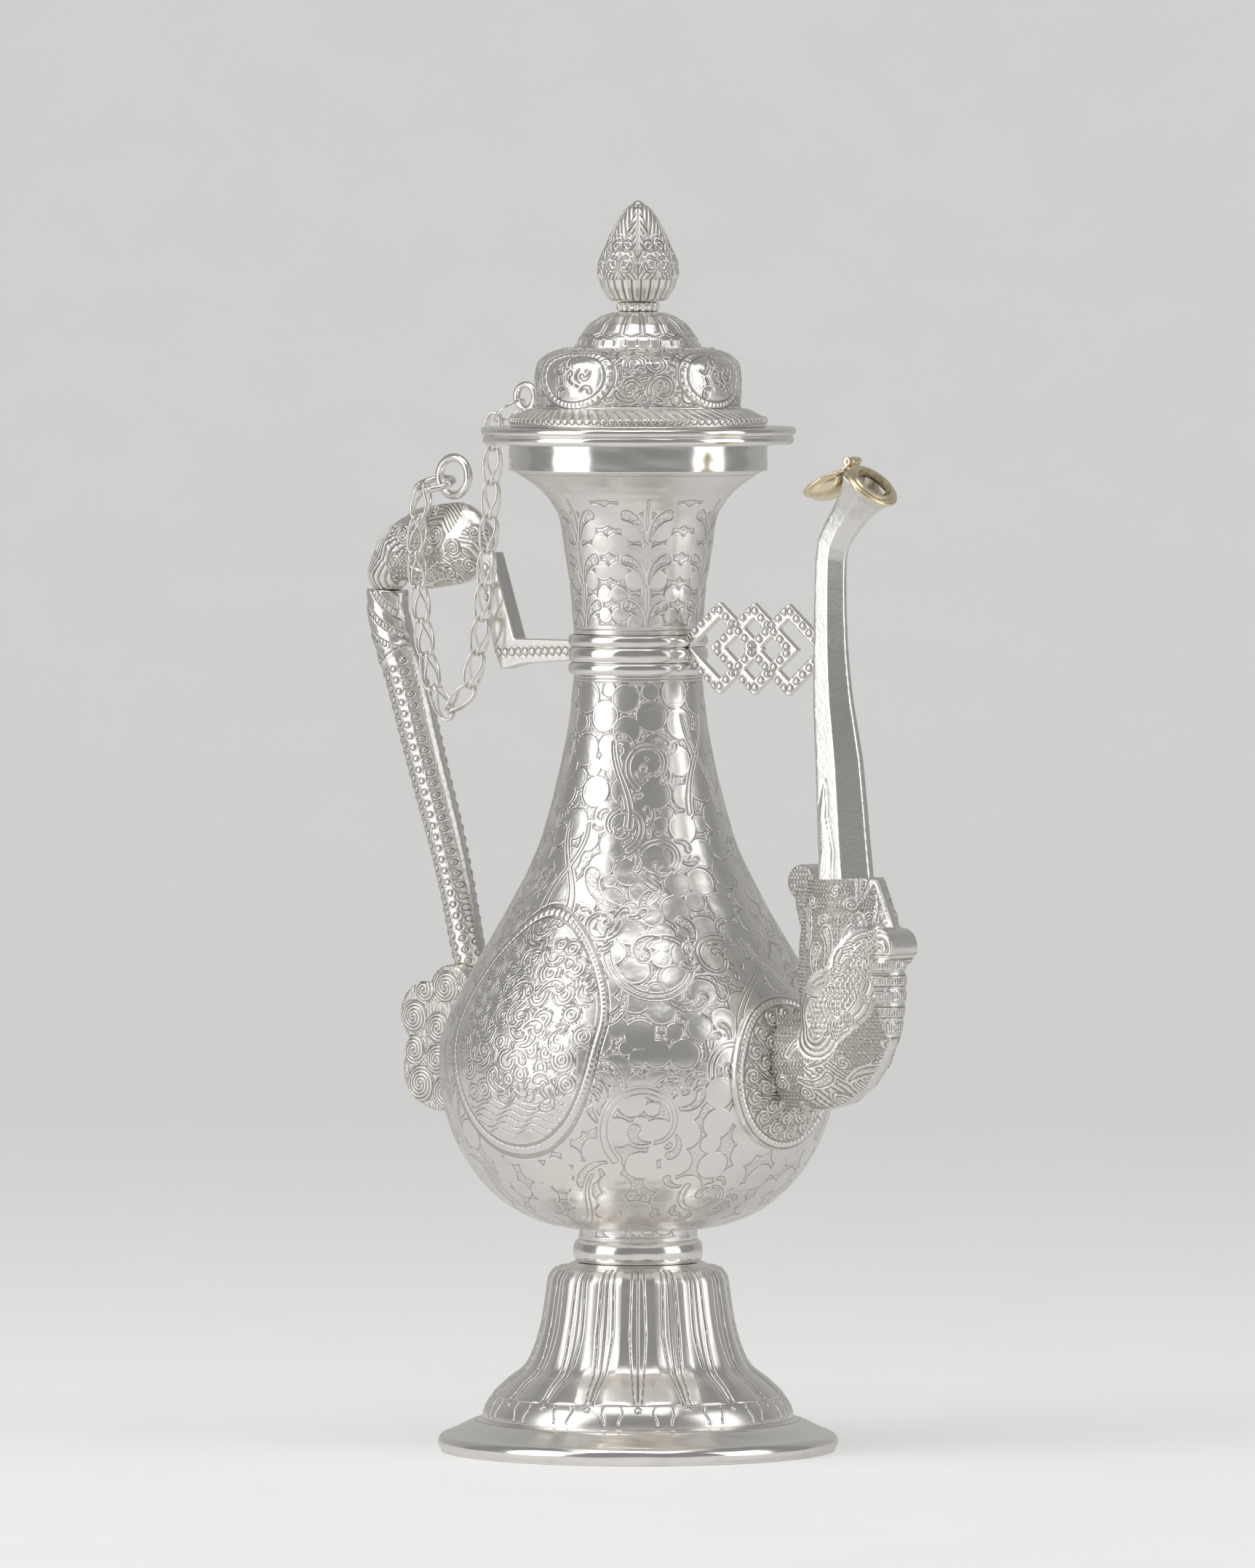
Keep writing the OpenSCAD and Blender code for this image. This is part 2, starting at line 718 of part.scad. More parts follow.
// The cap as it lies when shut, with its hinge line at the origin and its disc towards +X
module cap_shut() {
    r = mouth_r;
    cx = hinge_out + r;
    lift = 0.55 - hinge_up;
    difference() {
        union() {
            translate([cx, 0, lift]) turned(concat(
                [[r - 2, 0], [r - rim_bead * 0.5, 0]],
                [for (t = [-60:30:60]) [r - rim_bead / 2 * (1 - cos(t)), rim_bead / 2 * (1 + sin(t))]],
                quarter([r - 1.4, rim_bead], [0, 5], 6, true),
                [[0, 3.9]], backwards(quarter([r - 2.2, 1], [0, 3.9], 6, true))
            ));
            for (s = [-1, 1]) translate([0, s * (1.4 + hinge_gap + 0.6), 0]) {
                translate([0.3, -0.6, 0.2 - hinge_up]) cube([hinge_out + 1, 1.2, 0.7]);
                rotate([90, 0, 0]) translate([0, 0, -0.6]) cylinder(d = hinge_d, h = 1.2);
            }
        }
        rotate([90, 0, 0]) translate([0, 0, -5]) cylinder(d = pin_d + 0.1, h = 10, $fn = 24);
    }
}

module spout_cap() {
    color(GILT) at_mouth() translate([-mouth_r - hinge_out, 0, hinge_up]) rotate([0, cap_open, 0]) cap_shut();
}

// ---------- knot brace ----------

knot_x0 = neck_r + band_out;
knot_x1 = x_tube - tube_top * 0.95 - 0.9;
knot_step = (knot_x1 - knot_x0) * 0.27;

module diamond(half_w, half_h) polygon([[-half_w, 0], [0, half_h], [half_w, 0], [0, -half_h]]);

module knot_brace() {
    slant = knot_bar / sin(atan2(knot_h / 2, knot_half));
    color(BRIGHT) difference() {
        translate([0, knot_t / 2, z_arm + 1.6]) rotate([90, 0, 0]) linear_extrude(knot_t) intersection() {
            for (i = [-1, 0, 1]) translate([(knot_x0 + knot_x1) / 2 + i * knot_step, 0]) difference() {
                diamond(knot_half, knot_h / 2);
                diamond(knot_half - slant, (knot_half - slant) * knot_h / 2 / knot_half);
            }
            translate([neck_r, -knot_h]) square([knot_x1 - neck_r, 2 * knot_h]);
        }
        ring_stack();
    }
}

// ---------- chain ----------

// How far a link's folded end stands back from its hinge
FOLD = 0.85;

// Jump ring: it goes through the ring on the head, round its lower left side, and leans out towards -Y
jump_r = (jump_d - jump_wire) / 2;
jump_at = [x_ring - 5.3, -2.5, z_ring - 2.3];
jump_out = unit([0, -0.95, -0.3]);
jump_across = [1, 0, 0];
jump_hold = jump_wire / 2 + chain_wire / 2 + 0.35 + FOLD;

function circle_ring(at, r, wire, e1, e2, steps, sides) =
    let (n = cross(e1, e2))
    [
        for (i = [0:steps - 1])
            let (
                a = 360 * i / steps,
                out = e1 * cos(a) + e2 * sin(a),
                mid = at + out * r
            )
            [for (j = [0:sides - 1]) mid + (out * cos(360 * j / sides) + n * sin(360 * j / sides)) * wire / 2]
    ];

module jump_ring() {
    color(BRIGHT) skin(circle_ring(jump_at, jump_r, jump_wire, jump_out, jump_across, 24, 10), true);
}

// Hinges of the chain: it starts on the jump ring with two links leaning out over the head, then hangs
// free, and ends in a ring that lies over the edge of the lid plate and holds the eye
LEAN = [unit([-0.03, -0.24, -0.97]), unit([-0.02, -0.12, -0.99])];
chain_a = jump_at + jump_out * jump_r - LEAN[0] * jump_hold;
chain_a2 = chain_a + (LEAN[0] + LEAN[1]) * pitch;
eye_mid = (eye_d - eye_wire) / 2;
chain_b = [x_eye - eye_mid * cos(45), 0, z_eye - eye_mid * sin(45)];
end_reach = 8.8;
end_lean = unit([0.52, 0.7, 0.49]);
chain_c = chain_b - end_lean * end_reach;
flat = unit([chain_c[0] - chain_a2[0], chain_c[1] - chain_a2[1], 0]);
across = cross([0, 0, 1], flat);
hang_n = links - len(LEAN);
span = norm([chain_c[0] - chain_a2[0], chain_c[1] - chain_a2[1]]);
rise = chain_c[2] - chain_a2[2];

// Link k of a hanging run slopes at atan((k - mid) / c): mid and c are found from its span and rise
function slope(k, mid, c) = atan((k - mid) / c);
function sum(v, i = 0) = i < len(v) ? v[i] + sum(v, i + 1) : 0;
function run_x(mid, c) = pitch * sum([for (k = [0:hang_n - 1]) cos(slope(k, mid, c))]);
function run_z(mid, c) = pitch * sum([for (k = [0:hang_n - 1]) sin(slope(k, mid, c))]);
function find_mid(c, z, lo = -40, hi = 60, n = 40) =
    let (m = (lo + hi) / 2)
    n == 0 ? m : run_z(m, c) > z ? find_mid(c, z, m, hi, n - 1) : find_mid(c, z, lo, m, n - 1);
function find_c(x, z, lo = 0.01, hi = 20, n = 30) =
    let (c = (lo + hi) / 2)
    n == 0 ? c : run_x(find_mid(c, z), c) > x ? find_c(x, z, lo, c, n - 1) : find_c(x, z, c, hi, n - 1);
hang_c = find_c(span, rise);
hang_mid = find_mid(hang_c, rise);

// Direction of each link, from its upper hinge on
LINK_DIR = concat(
    LEAN,
    [for (k = [0:hang_n - 1]) let (s = slope(k, hang_mid, hang_c)) flat * cos(s) + [0, 0, sin(s)]]
);
function hinge(k) = k == 0 ? chain_a : hinge(k - 1) + LINK_DIR[k - 1] * pitch;

// One link's wire: a quarter of the folded loop, in the link's own frame
QUARTER = [[0.75, 0, -FOLD], [0.75, 1.3, -1], [0.85, 2.15, -1.8], [1.3, 2.3, -3.2], [2.2, 1.6, -5.5],
           [2.6, 0.9, -7.6], [2.4, 0.62, -pitch], [1.7, 0.62, -pitch - 1.7], [0, 0.62, -pitch - 2.4]];
LOOP = concat(
    [for (i = [0:7]) QUARTER[i]],
    [for (i = [8:-1:1]) [-QUARTER[i][0], QUARTER[i][1], QUARTER[i][2]]],
    [for (i = [0:7]) [-QUARTER[i][0], -QUARTER[i][1], QUARTER[i][2]]],
    [for (i = [8:-1:1]) [QUARTER[i][0], -QUARTER[i][1], QUARTER[i][2]]]
);

function link_ring(i, sides) =
    let (
        n = len(LOOP),
        p = LOOP[i],
        t = unit(LOOP[(i + 1) % n] - LOOP[(i + n - 1) % n]),
        turn = 90 * min(1, max(0, -p[2] - FOLD) / 1.5),
        lean = [0, sin(turn) * sign(p[1]), cos(turn)],
        e1 = unit(lean - t * (lean * t)),
        e2 = cross(t, e1)
    )
    [for (j = [0:sides - 1]) p + (e1 * cos(360 * j / sides) + e2 * sin(360 * j / sides)) * chain_wire / 2];

// The link's axes: down its length, across the hanging plane, and in the plane
module chain_link(k) {
    down = LINK_DIR[k];
    side = unit(cross(across, down));
    over = cross(down, side);
    at = hinge(k);
    color(BRIGHT) skin([
        for (i = [0:len(LOOP) - 1])
            [for (q = link_ring(i, 8)) at + side * q[0] + over * q[1] - down * q[2]]
    ], true);
}

// The end ring runs from inside the last link to behind the eye's wire
end_in = 0;
end_past = eye_wire / 2 + chain_wire / 2 + 0.2;

module chain_end_ring() {
    r = (end_reach - end_in + end_past) / 2;
    side = unit(across - end_lean * (across * end_lean));
    color(BRIGHT) skin(circle_ring(chain_c + end_lean * (end_in + r), r, chain_wire, end_lean, side, 24, 8), true);
}

foot_rim();
foot_step();
foot_bell();
foot_collar();
body_bowl();
neck_wire_lower();
neck_band();
neck_wire_upper();
neck_flare();
mouth_cup();
mouth_rim();
handle_root();
handle_grip();
handle_head();
handle_arm();
handle_ring();
spout_medallion();
spout_elbow();
spout_tube();
spout_rim();
spout_cap_pin();
spout_cap();
knot_brace();
lid_plate();
lid_plug();
lid_base_ring();
lid_drum();
lid_dome();
finial_collar();
finial_bud();
finial_stem();
finial_washer();
lid_eye();
jump_ring();
for (k = [1:links]) chain_link(k - 1);
chain_end_ring();
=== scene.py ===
"""Looks of the silver ewer: engraved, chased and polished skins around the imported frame."""
import json
import math

import bmesh
import bpy
import numpy as np
from mathutils import Matrix, Vector

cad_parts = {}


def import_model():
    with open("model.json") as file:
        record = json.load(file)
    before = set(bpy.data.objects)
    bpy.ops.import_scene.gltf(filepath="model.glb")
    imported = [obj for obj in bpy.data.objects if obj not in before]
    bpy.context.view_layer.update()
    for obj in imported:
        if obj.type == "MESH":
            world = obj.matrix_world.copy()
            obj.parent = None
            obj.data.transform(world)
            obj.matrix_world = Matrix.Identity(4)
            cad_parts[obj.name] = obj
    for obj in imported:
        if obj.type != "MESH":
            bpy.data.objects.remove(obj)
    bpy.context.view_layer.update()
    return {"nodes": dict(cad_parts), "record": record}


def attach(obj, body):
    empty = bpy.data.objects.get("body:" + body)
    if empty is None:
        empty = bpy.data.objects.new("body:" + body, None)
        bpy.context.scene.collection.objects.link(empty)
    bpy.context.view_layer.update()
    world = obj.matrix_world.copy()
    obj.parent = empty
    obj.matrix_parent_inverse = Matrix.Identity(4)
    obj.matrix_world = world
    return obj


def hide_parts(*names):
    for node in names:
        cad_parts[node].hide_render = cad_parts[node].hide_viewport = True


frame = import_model()
MM = 0.001
BODY_OF = {n: b for b, ns in frame["record"]["behaviour"]["bodies"].items() for n in ns}
FAR = 9.0  # stands for "no line near" in the engraving, in millimetres
WIRE_SLACK = 0.06

CAMERA_AT = (2.76399, -3.29399, 0.37754)
CAMERA_AIM = (0.0000377, -0.0048907, 0.1975279)
CAMERA_LENS = 333.95


# ---------- materials ----------

class Nodes:
    """A short way to write a node tree: each call makes a node and returns its first output."""

    def __init__(self, material):
        material.use_nodes = True
        self.tree = material.node_tree
        self.shader = self.tree.nodes["Principled BSDF"]

    def put(self, value, socket):
        if hasattr(value, "default_value") and hasattr(value, "node"):
            self.tree.links.new(value, socket)
        else:
            socket.default_value = value

    def make(self, kind, out=0, setting=None, **inputs):
        node = self.tree.nodes.new(kind)
        for key, value in (setting or {}).items():
            setattr(node, key, value)
        for key, value in inputs.items():
            self.put(value, node.inputs[key.replace("_", " ")])
        return node.outputs[out]

    def math(self, operation, a, b=0.0, c=0.0):
        node = self.tree.nodes.new("ShaderNodeMath")
        node.operation = operation
        for value, socket in zip((a, b, c), node.inputs):
            self.put(value, socket)
        return node.outputs[0]

    def step(self, value, low, high, to_low=0.0, to_high=1.0):
        """Smooth step of value from low to high."""
        node = self.tree.nodes.new("ShaderNodeMapRange")
        node.interpolation_type = "SMOOTHSTEP"
        keys = ("Value", "From Min", "From Max", "To Min", "To Max")
        for key, v in zip(keys, (value, low, high, to_low, to_high)):
            self.put(v, node.inputs[key])
        return node.outputs[0]

    def attribute(self, name):
        node = self.tree.nodes.new("ShaderNodeAttribute")
        node.attribute_name = name
        return node.outputs["Fac"]

    def place(self, stretch=(1, 1, 1)):
        """The point's place in millimetres, times stretch."""
        at = self.make("ShaderNodeTexCoord", out=3)
        return self.make("ShaderNodeMapping", Vector=at, Scale=[s / MM for s in stretch])

    def noise(self, at, scale, detail=2.0, rough=0.5):
        return self.make("ShaderNodeTexNoise", Vector=at, Scale=scale, Detail=detail, Roughness=rough)

    def mix(self, share, a, b):
        node = self.tree.nodes.new("ShaderNodeMix")
        node.data_type = "RGBA"
        self.put(share, node.inputs[0])
        self.put(a, node.inputs[6])
        self.put(b, node.inputs[7])
        return node.outputs[2]


def metal(name, color, dark, rough, rough_spread=0.07, brush=(0.12, 0.12, 2.4), brush_mm=0.006,
          engraved=False, line_mm=0.12, line_wide=0.26, grain_mm=0.16, pebble_mm=0.0, wave_mm=0.0):
    """A silver or gilt finish. Engraved skins carry two signed vertex attributes in millimetres: "grain" is
    above zero inside ring-punched ground and has a cut line at zero; "line" is zero on the other cut lines."""
    material = bpy.data.materials.new(name)
    n = Nodes(material)
    at = n.place()
    brushed = n.noise(n.place(brush), 1.0, 3.0, 0.6)
    cloud = n.noise(at, 0.09, 3.0, 0.6)
    fine = n.noise(at, 0.9, 2.0, 0.5)
    height = n.math("MULTIPLY", brushed, brush_mm)
    height = n.math("MULTIPLY_ADD", cloud, wave_mm, height) if wave_mm else height
    # Random tarnish from the cloud noise; on engraved skins the painted shade in the cut lines and punched
    # ground is added to it below.
    tarnish_and_shade = n.step(cloud, 0.52, 0.75, 0.0, 0.22)
    roughness = n.math("MULTIPLY_ADD", n.math("ADD", cloud, fine), rough_spread, rough - rough_spread)
    if pebble_mm:
        pebble = n.make("ShaderNodeTexVoronoi", setting={"feature": "SMOOTH_F1"}, Vector=at, Scale=0.85,
                        Smoothness=0.4)
        height = n.math("MULTIPLY_ADD", pebble, -pebble_mm, height)
    if engraved:
        grain = n.attribute("grain")
        line = n.math("MINIMUM", n.math("ABSOLUTE", n.attribute("line")), n.math("ABSOLUTE", grain))
        cut = n.step(line, 0.05, line_wide)
        burr = n.math("MULTIPLY", n.step(line, 0.2, 0.42), n.step(line, 0.45, 0.9, 1.0, 0.0))
        height = n.math("MULTIPLY_ADD", cut, line_mm, height)
        height = n.math("MULTIPLY_ADD", burr, line_mm * 0.35, height)
        field = n.step(grain, 0.1, 0.35)
        cell = n.make("ShaderNodeTexVoronoi", Vector=at, Scale=0.85, Randomness=0.5)
        dot = n.step(cell, 0.26, 0.5, 1.0, 0.0)
        punched = n.math("MULTIPLY", field, dot)
        height = n.math("MULTIPLY_ADD", punched, grain_mm, height)
        # Painted shade: the cut lines and the low ground between the raised punched dots are darkened toward
        # the dark colour.
        cut_shade = n.step(line, 0.06, line_wide, 0.75, 0.0)
        ground_shade = n.math("MULTIPLY", field, n.step(cell, 0.4, 0.62, 0.0, 0.25))
        tarnish_and_shade = n.math("MAXIMUM", tarnish_and_shade, n.math("MAXIMUM", cut_shade, ground_shade))
        roughness = n.math("MULTIPLY_ADD", field, 0.03, roughness)
    n.put(n.mix(tarnish_and_shade, (*color, 1), (*dark, 1)), n.shader.inputs["Base Color"])
    n.put(roughness, n.shader.inputs["Roughness"])
    n.shader.inputs["Metallic"].default_value = 1.0
    bump = n.make("ShaderNodeBump", Strength=1.0, Distance=MM, Height=height)
    n.put(bump, n.shader.inputs["Normal"])
    return material


SILVER = (0.94, 0.915, 0.875)
SHADE = (0.50, 0.48, 0.45)
BRIGHT = {"color": (0.95, 0.93, 0.895), "dark": SHADE, "rough": 0.15, "rough_spread": 0.05, "brush_mm": 0.003}
ENGRAVED = metal("silver_engraved", SILVER, SHADE, 0.25, engraved=True, line_mm=0.1, grain_mm=0.1, wave_mm=0.25)
TURNED = metal("silver_turned", SILVER, SHADE, 0.25, engraved=True, brush=(0.05, 0.05, 2.2), brush_mm=0.014,
               line_mm=0.2)
CHASED = metal("silver_chased", (0.93, 0.905, 0.855), (0.42, 0.40, 0.37), 0.29, engraved=True, line_mm=0.2,
               grain_mm=0.2, pebble_mm=0.05)
POLISHED = metal("silver_polished", **BRIGHT)
POLISHED_LINES = metal("silver_polished_lines", **BRIGHT, engraved=True)
CAST_CUT = metal("silver_cast_cut", (0.93, 0.905, 0.86), SHADE, 0.24, brush=(0.5, 0.5, 0.5), brush_mm=0.02,
                 engraved=True, line_mm=0.2)
WIRE = metal("silver_wire", (0.95, 0.925, 0.88), (0.40, 0.38, 0.35), 0.17, rough_spread=0.06, brush_mm=0.004)
FILED = metal("silver_filed", (0.90, 0.885, 0.855), (0.34, 0.34, 0.33), 0.27, brush=(0.3, 0.3, 3.6),
              brush_mm=0.03, pebble_mm=0.03)
GILT = metal("gilt_satin", (0.94, 0.83, 0.60), (0.48, 0.36, 0.20), 0.27, brush_mm=0.01, pebble_mm=0.03)


# ---------- meshes ----------

def triples(items, key, kind=float):
    out = np.empty(len(items) * 3, kind)
    items.foreach_get(key, out)
    return out.reshape(-1, 3)


def arrays(node):
    """A CAD node's corners in millimetres and its triangles."""
    mesh = frame["nodes"][node].data
    mesh.calc_loop_triangles()
    return triples(mesh.vertices, "co") / MM, triples(mesh.loop_triangles, "vertices", int)


def smooth(mesh):
    mesh.polygons.foreach_set("use_smooth", np.ones(len(mesh.polygons), bool))


def store(mesh, fields):
    """Writes the engraving, in millimetres, onto a mesh's corners."""
    for key, values in fields.items():
        mesh.attributes.new(key, "FLOAT", "POINT").data.foreach_set("value", np.clip(values, -FAR, FAR))


def linked(name, data):
    made = bpy.data.objects.new(name, data)
    bpy.context.scene.collection.objects.link(made)
    return made


def fill_mesh(mesh, co, faces):
    """Corners in millimetres, faces as equal-sized rows."""
    sides = faces.shape[1]
    mesh.vertices.add(len(co))
    mesh.vertices.foreach_set("co", (co * MM).ravel())
    mesh.loops.add(faces.size)
    mesh.loops.foreach_set("vertex_index", faces.ravel())
    mesh.polygons.add(len(faces))
    mesh.polygons.foreach_set("loop_start", np.arange(0, faces.size, sides))
    smooth(mesh)
    mesh.update(calc_edges=True)
    mesh.validate()


def settle(made, nodes):
    """The piece rides on the body of its first node and stands for them all; the nodes themselves are hidden.
    """
    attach(made, BODY_OF[nodes[0]])
    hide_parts(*nodes)
    return made


def apply_modifiers(made):
    bpy.context.view_layer.update()
    done = bpy.data.meshes.new_from_object(made.evaluated_get(bpy.context.evaluated_depsgraph_get()))
    made.modifiers.clear()
    made.data = done
    return made


def copied(node, name):
    """A loose copy of a CAD node's mesh with its corners joined."""
    made = linked(name, frame["nodes"][node].data.copy())
    bm = bmesh.new()
    bm.from_mesh(made.data)
    bmesh.ops.remove_doubles(bm, verts=bm.verts, dist=1e-6)
    bm.to_mesh(made.data)
    bm.free()
    return made


def fine(node, name, voxel, rounds=6):
    """A dense even skin over a CAD node, smoothed, as an object."""
    made = copied(node, name)
    remesh = made.modifiers.new("remesh", "REMESH")
    remesh.mode = "VOXEL"
    remesh.voxel_size = voxel * MM
    soften = made.modifiers.new("smooth", "SMOOTH")
    soften.factor = 0.5
    soften.iterations = rounds
    apply_modifiers(made)
    smooth(made.data)
    return made


def corners(made):
    """A loose object's corners and normals, in millimetres."""
    return triples(made.data.vertices, "co") / MM, triples(made.data.vertex_normals, "vector")


def dress(made, nodes, material):
    made.data.materials.clear()
    made.data.materials.append(material)
    return settle(made, nodes)


def finish_skin(made, co, nodes, material, fields):
    """Moves a dense skin's corners, adds its engraving and makes it a piece."""
    made.data.vertices.foreach_set("co", (co * MM).ravel())
    store(made.data, fields)
    made.data.update()
    return dress(made, nodes, material)


def add_beads(mesh, at, axis, around=7.75, count=50, size=0.68):
    """A ring of beads round a place, joined into the mesh."""
    side = axis.cross(Vector((0, 1, 0))).normalized()
    up = axis.cross(side)
    bm = bmesh.new()
    bm.from_mesh(mesh)
    for k in range(count):
        a = 2 * math.pi * k / count
        centre = (at + (side * math.cos(a) + up * math.sin(a)) * around) * MM
        bmesh.ops.create_icosphere(bm, subdivisions=2, radius=size * MM, matrix=Matrix.Translation(centre))
    bm.to_mesh(mesh)
    bm.free()


def plain(node, material, bevel=0.0, angle=35, beads_at=None):
    """A CAD node's own shape with soft edges, and perhaps a ring of beads."""
    made = copied(node, "skin_" + node)
    if bevel:
        edge = made.modifiers.new("bevel", "BEVEL")
        edge.width = bevel * MM
        edge.segments = 2
        edge.limit_method = "ANGLE"
        edge.angle_limit = math.radians(angle)
        apply_modifiers(made)
    if beads_at:
        add_beads(made.data, *beads_at)
    made.data.set_sharp_from_angle(angle=math.radians(angle))
    smooth(made.data)
    return dress(made, [node], material)


def round_wire(node, material):
    """A wire ring or link with its facets rounded off, thinner than the CAD by WIRE_SLACK all round."""
    made = copied(node, "wire_" + node)
    bm = bmesh.new()
    bm.from_mesh(made.data)
    bmesh.ops.join_triangles(bm, faces=bm.faces, angle_face_threshold=1.2, angle_shape_threshold=1.5)
    bm.to_mesh(made.data)
    bm.free()
    surface = made.modifiers.new("round", "SUBSURF")
    surface.levels = surface.render_levels = 2
    apply_modifiers(made)
    co, normal = corners(made)
    return finish_skin(made, co - normal * WIRE_SLACK, [node], material, {})


def grid_faces(rows, columns, closed_rows=False):
    """Quads over rows of points that close around each row."""
    i = np.arange(rows if closed_rows else rows - 1)[:, None]
    j = np.arange(columns)[None, :]
    i2, j2 = (i + 1) % rows, (j + 1) % columns
    i, i2 = i * columns, i2 * columns
    return np.stack([i + j, i + j2, i2 + j2, i2 + j], -1).reshape(-1, 4)


# ---------- outlines of turned nodes ----------

def wall(node, side):
    """(z, r) of a turned node's outer (side 1) or inner (side -1) wall, from the bottom up. Levels with few
    corners belong to the edge of a hole and are left out."""
    co, tri = arrays(node)
    a, b, c = co[tri[:, 0]], co[tri[:, 1]], co[tri[:, 2]]
    n = np.cross(b - a, c - a)
    size = np.linalg.norm(n, axis=1)
    mid = (a + b + c) / 3
    reach = np.maximum(np.hypot(mid[:, 0], mid[:, 1]) * size, 1e-9)
    out = (n[:, 0] * mid[:, 0] + n[:, 1] * mid[:, 1]) / reach
    used = np.unique(tri[out * side > 0.05])
    z, r = np.round(co[used, 2], 2), np.hypot(co[used, 0], co[used, 1])
    levels, count = np.unique(z, return_counts=True)
    full = count >= count.max(initial=0) / 8
    full[:1] = full[-1:] = True
    levels = levels[full]
    pick = max if side > 0 else min
    return levels, np.array([pick(r[z == level]) for level in levels])


def curve_through(points, step):
    """Points every step millimetres along a smooth curve through (r, z); corners over 50 degrees stay."""
    p = np.asarray(points, float)
    seg = np.diff(p, axis=0)
    length = np.linalg.norm(seg, axis=1)
    keep = np.r_[True, length > 1e-3]
    p, seg = p[keep], np.diff(p[keep], axis=0)
    length = np.linalg.norm(seg, axis=1)
    way = seg / length[:, None]
    tangent = np.vstack([way[:1], way[:-1] * length[1:, None] + way[1:] * length[:-1, None], way[-1:]])
    tangent /= np.linalg.norm(tangent, axis=1)[:, None]
    sharp = np.r_[False, (way[:-1] * way[1:]).sum(1) < math.cos(math.radians(50)), False]
    out = []
    for i, size in enumerate(length):
        t = np.linspace(0, 1, max(1, round(size / step)) + 1)[:-1, None]
        m0 = way[i] if sharp[i] else tangent[i]
        m1 = way[i] if sharp[i + 1] else tangent[i + 1]
        out.append((2 * t**3 - 3 * t**2 + 1) * p[i] + (t**3 - 2 * t**2 + t) * m0 * size
                   + (3 * t**2 - 2 * t**3) * p[i + 1] + (t**3 - t**2) * m1 * size)
    return np.vstack(out + [p[-1:]])


class Turned:
    """A turned skin as rows of points: angle, place s along the outline, radius and height, in millimetres.
    Only its outer side is engraved; the inner outline, from the top down, closes it."""

    def __init__(self, outline, around, inner=None):
        self.rows = outline
        self.inner = inner
        self.around = around
        step = np.linalg.norm(np.diff(outline, axis=0), axis=1)
        self.run = np.r_[0, np.cumsum(step)]
        angle = np.arange(around) * 2 * np.pi / around
        self.angle = np.tile(angle, len(outline))
        self.s = np.repeat(self.run, around)
        self.r = np.repeat(outline[:, 0], around)
        self.z = np.repeat(outline[:, 1], around)
        self.line = np.full(len(self.s), FAR)
        self.grain = np.full(len(self.s), -FAR)
        self.rise = np.zeros(len(self.s))
        slope = np.gradient(outline, axis=0)
        slope /= np.maximum(np.linalg.norm(slope, axis=1), 1e-9)[:, None]
        self.out_r = np.repeat(slope[:, 1], around)
        self.out_z = np.repeat(-slope[:, 0], around)

    def s_at(self, z):
        return float(np.interp(z, self.rows[:, 1], self.run))

    def r_at(self, s):
        return float(np.interp(s, self.run, self.rows[:, 0]))

    def near(self, angle, s, reach):
        """The corners within reach of a place, with their distances across and up from it."""
        rows = np.flatnonzero(abs(self.run - s) <= reach)
        if not len(rows):
            return np.empty(0, int), np.empty(0), np.empty(0)
        index = np.arange(rows[0] * self.around, (rows[-1] + 1) * self.around)
        x = ((self.angle[index] - angle + np.pi) % (2 * np.pi) - np.pi) * self.r[index]
        y = self.s[index] - s
        close = abs(x) <= reach
        return index[close], x[close], y[close]

    def make(self, name, nodes, material):
        end = self.run[-1]
        self.rise *= np.clip((end - self.s) / 1.2, 0, 1) * np.clip(self.s / 1.2, 0, 1)
        r, z = self.r + self.out_r * self.rise, self.z + self.out_z * self.rise
        line, grain, angle, rows = self.line, self.grain, self.angle, len(self.rows)
        if self.inner is not None:
            more = len(self.inner)
            r = np.r_[r, np.repeat(self.inner[:, 0], self.around)]
            z = np.r_[z, np.repeat(self.inner[:, 1], self.around)]
            angle = np.tile(angle[: self.around], rows + more)
            line = np.r_[line, np.full(more * self.around, FAR)]
            grain = np.r_[grain, np.full(more * self.around, -FAR)]
            rows += more
        co = np.stack([r * np.cos(angle), r * np.sin(angle), z], -1)
        faces = grid_faces(rows, self.around, self.inner is not None)
        mesh = bpy.data.meshes.new(name)
        fill_mesh(mesh, co, faces)
        store(mesh, {"line": line, "grain": grain})
        mesh.materials.append(material)
        return settle(linked(name, mesh), nodes)


def shell(node, step, around, inner_step=3.0, floor=False):
    """The skin of a turned node, with its inner wall where it has one, and a floor where it is closed below."""
    z0, r0 = wall(node, 1)
    outer = np.stack([r0, z0], -1)
    zi, ri = wall(node, -1)
    inner = np.stack([ri, zi], -1)[::-1] if len(zi) > 1 else np.array([[0.02, z0[-1]], [0.02, z0[0]]])
    outer, inner = curve_through(outer, step), curve_through(inner, inner_step)
    if floor:
        inner = np.vstack([inner, [[0.02, inner[-1, 1]], [0.02, outer[0, 1]]]])
    return Turned(outer, around, inner)


# ---------- engraving on turned skins ----------

def stretches(p, x, y):
    """For each stretch of a path: its number, the nearest place on it from 0 to 1, and how far that is."""
    for i in range(len(p) - 1):
        a, d = p[i], p[i + 1] - p[i]
        t = np.clip(((x - a[0]) * d[0] + (y - a[1]) * d[1]) / max(d @ d, 1e-9), 0, 1)
        yield i, t, np.hypot(x - a[0] - t * d[0], y - a[1] - t * d[1])


def walk(start, way, length):
    """A path from a point, one step along each heading."""
    step = np.stack([np.cos(way), np.sin(way)], -1) * length / (len(way) - 1)
    return np.array(start) + np.vstack([[0, 0], np.cumsum(step, axis=0)[:-1]])


def lay(field, index, here, value):
    """Writes a value into a field where it holds."""
    field[index] = np.where(here, value, field[index])


def rounded(share):
    """A dome's height, from 1 in its middle to 0 at its edge."""
    return np.sqrt(np.clip(1 - share**2, 0, 1))


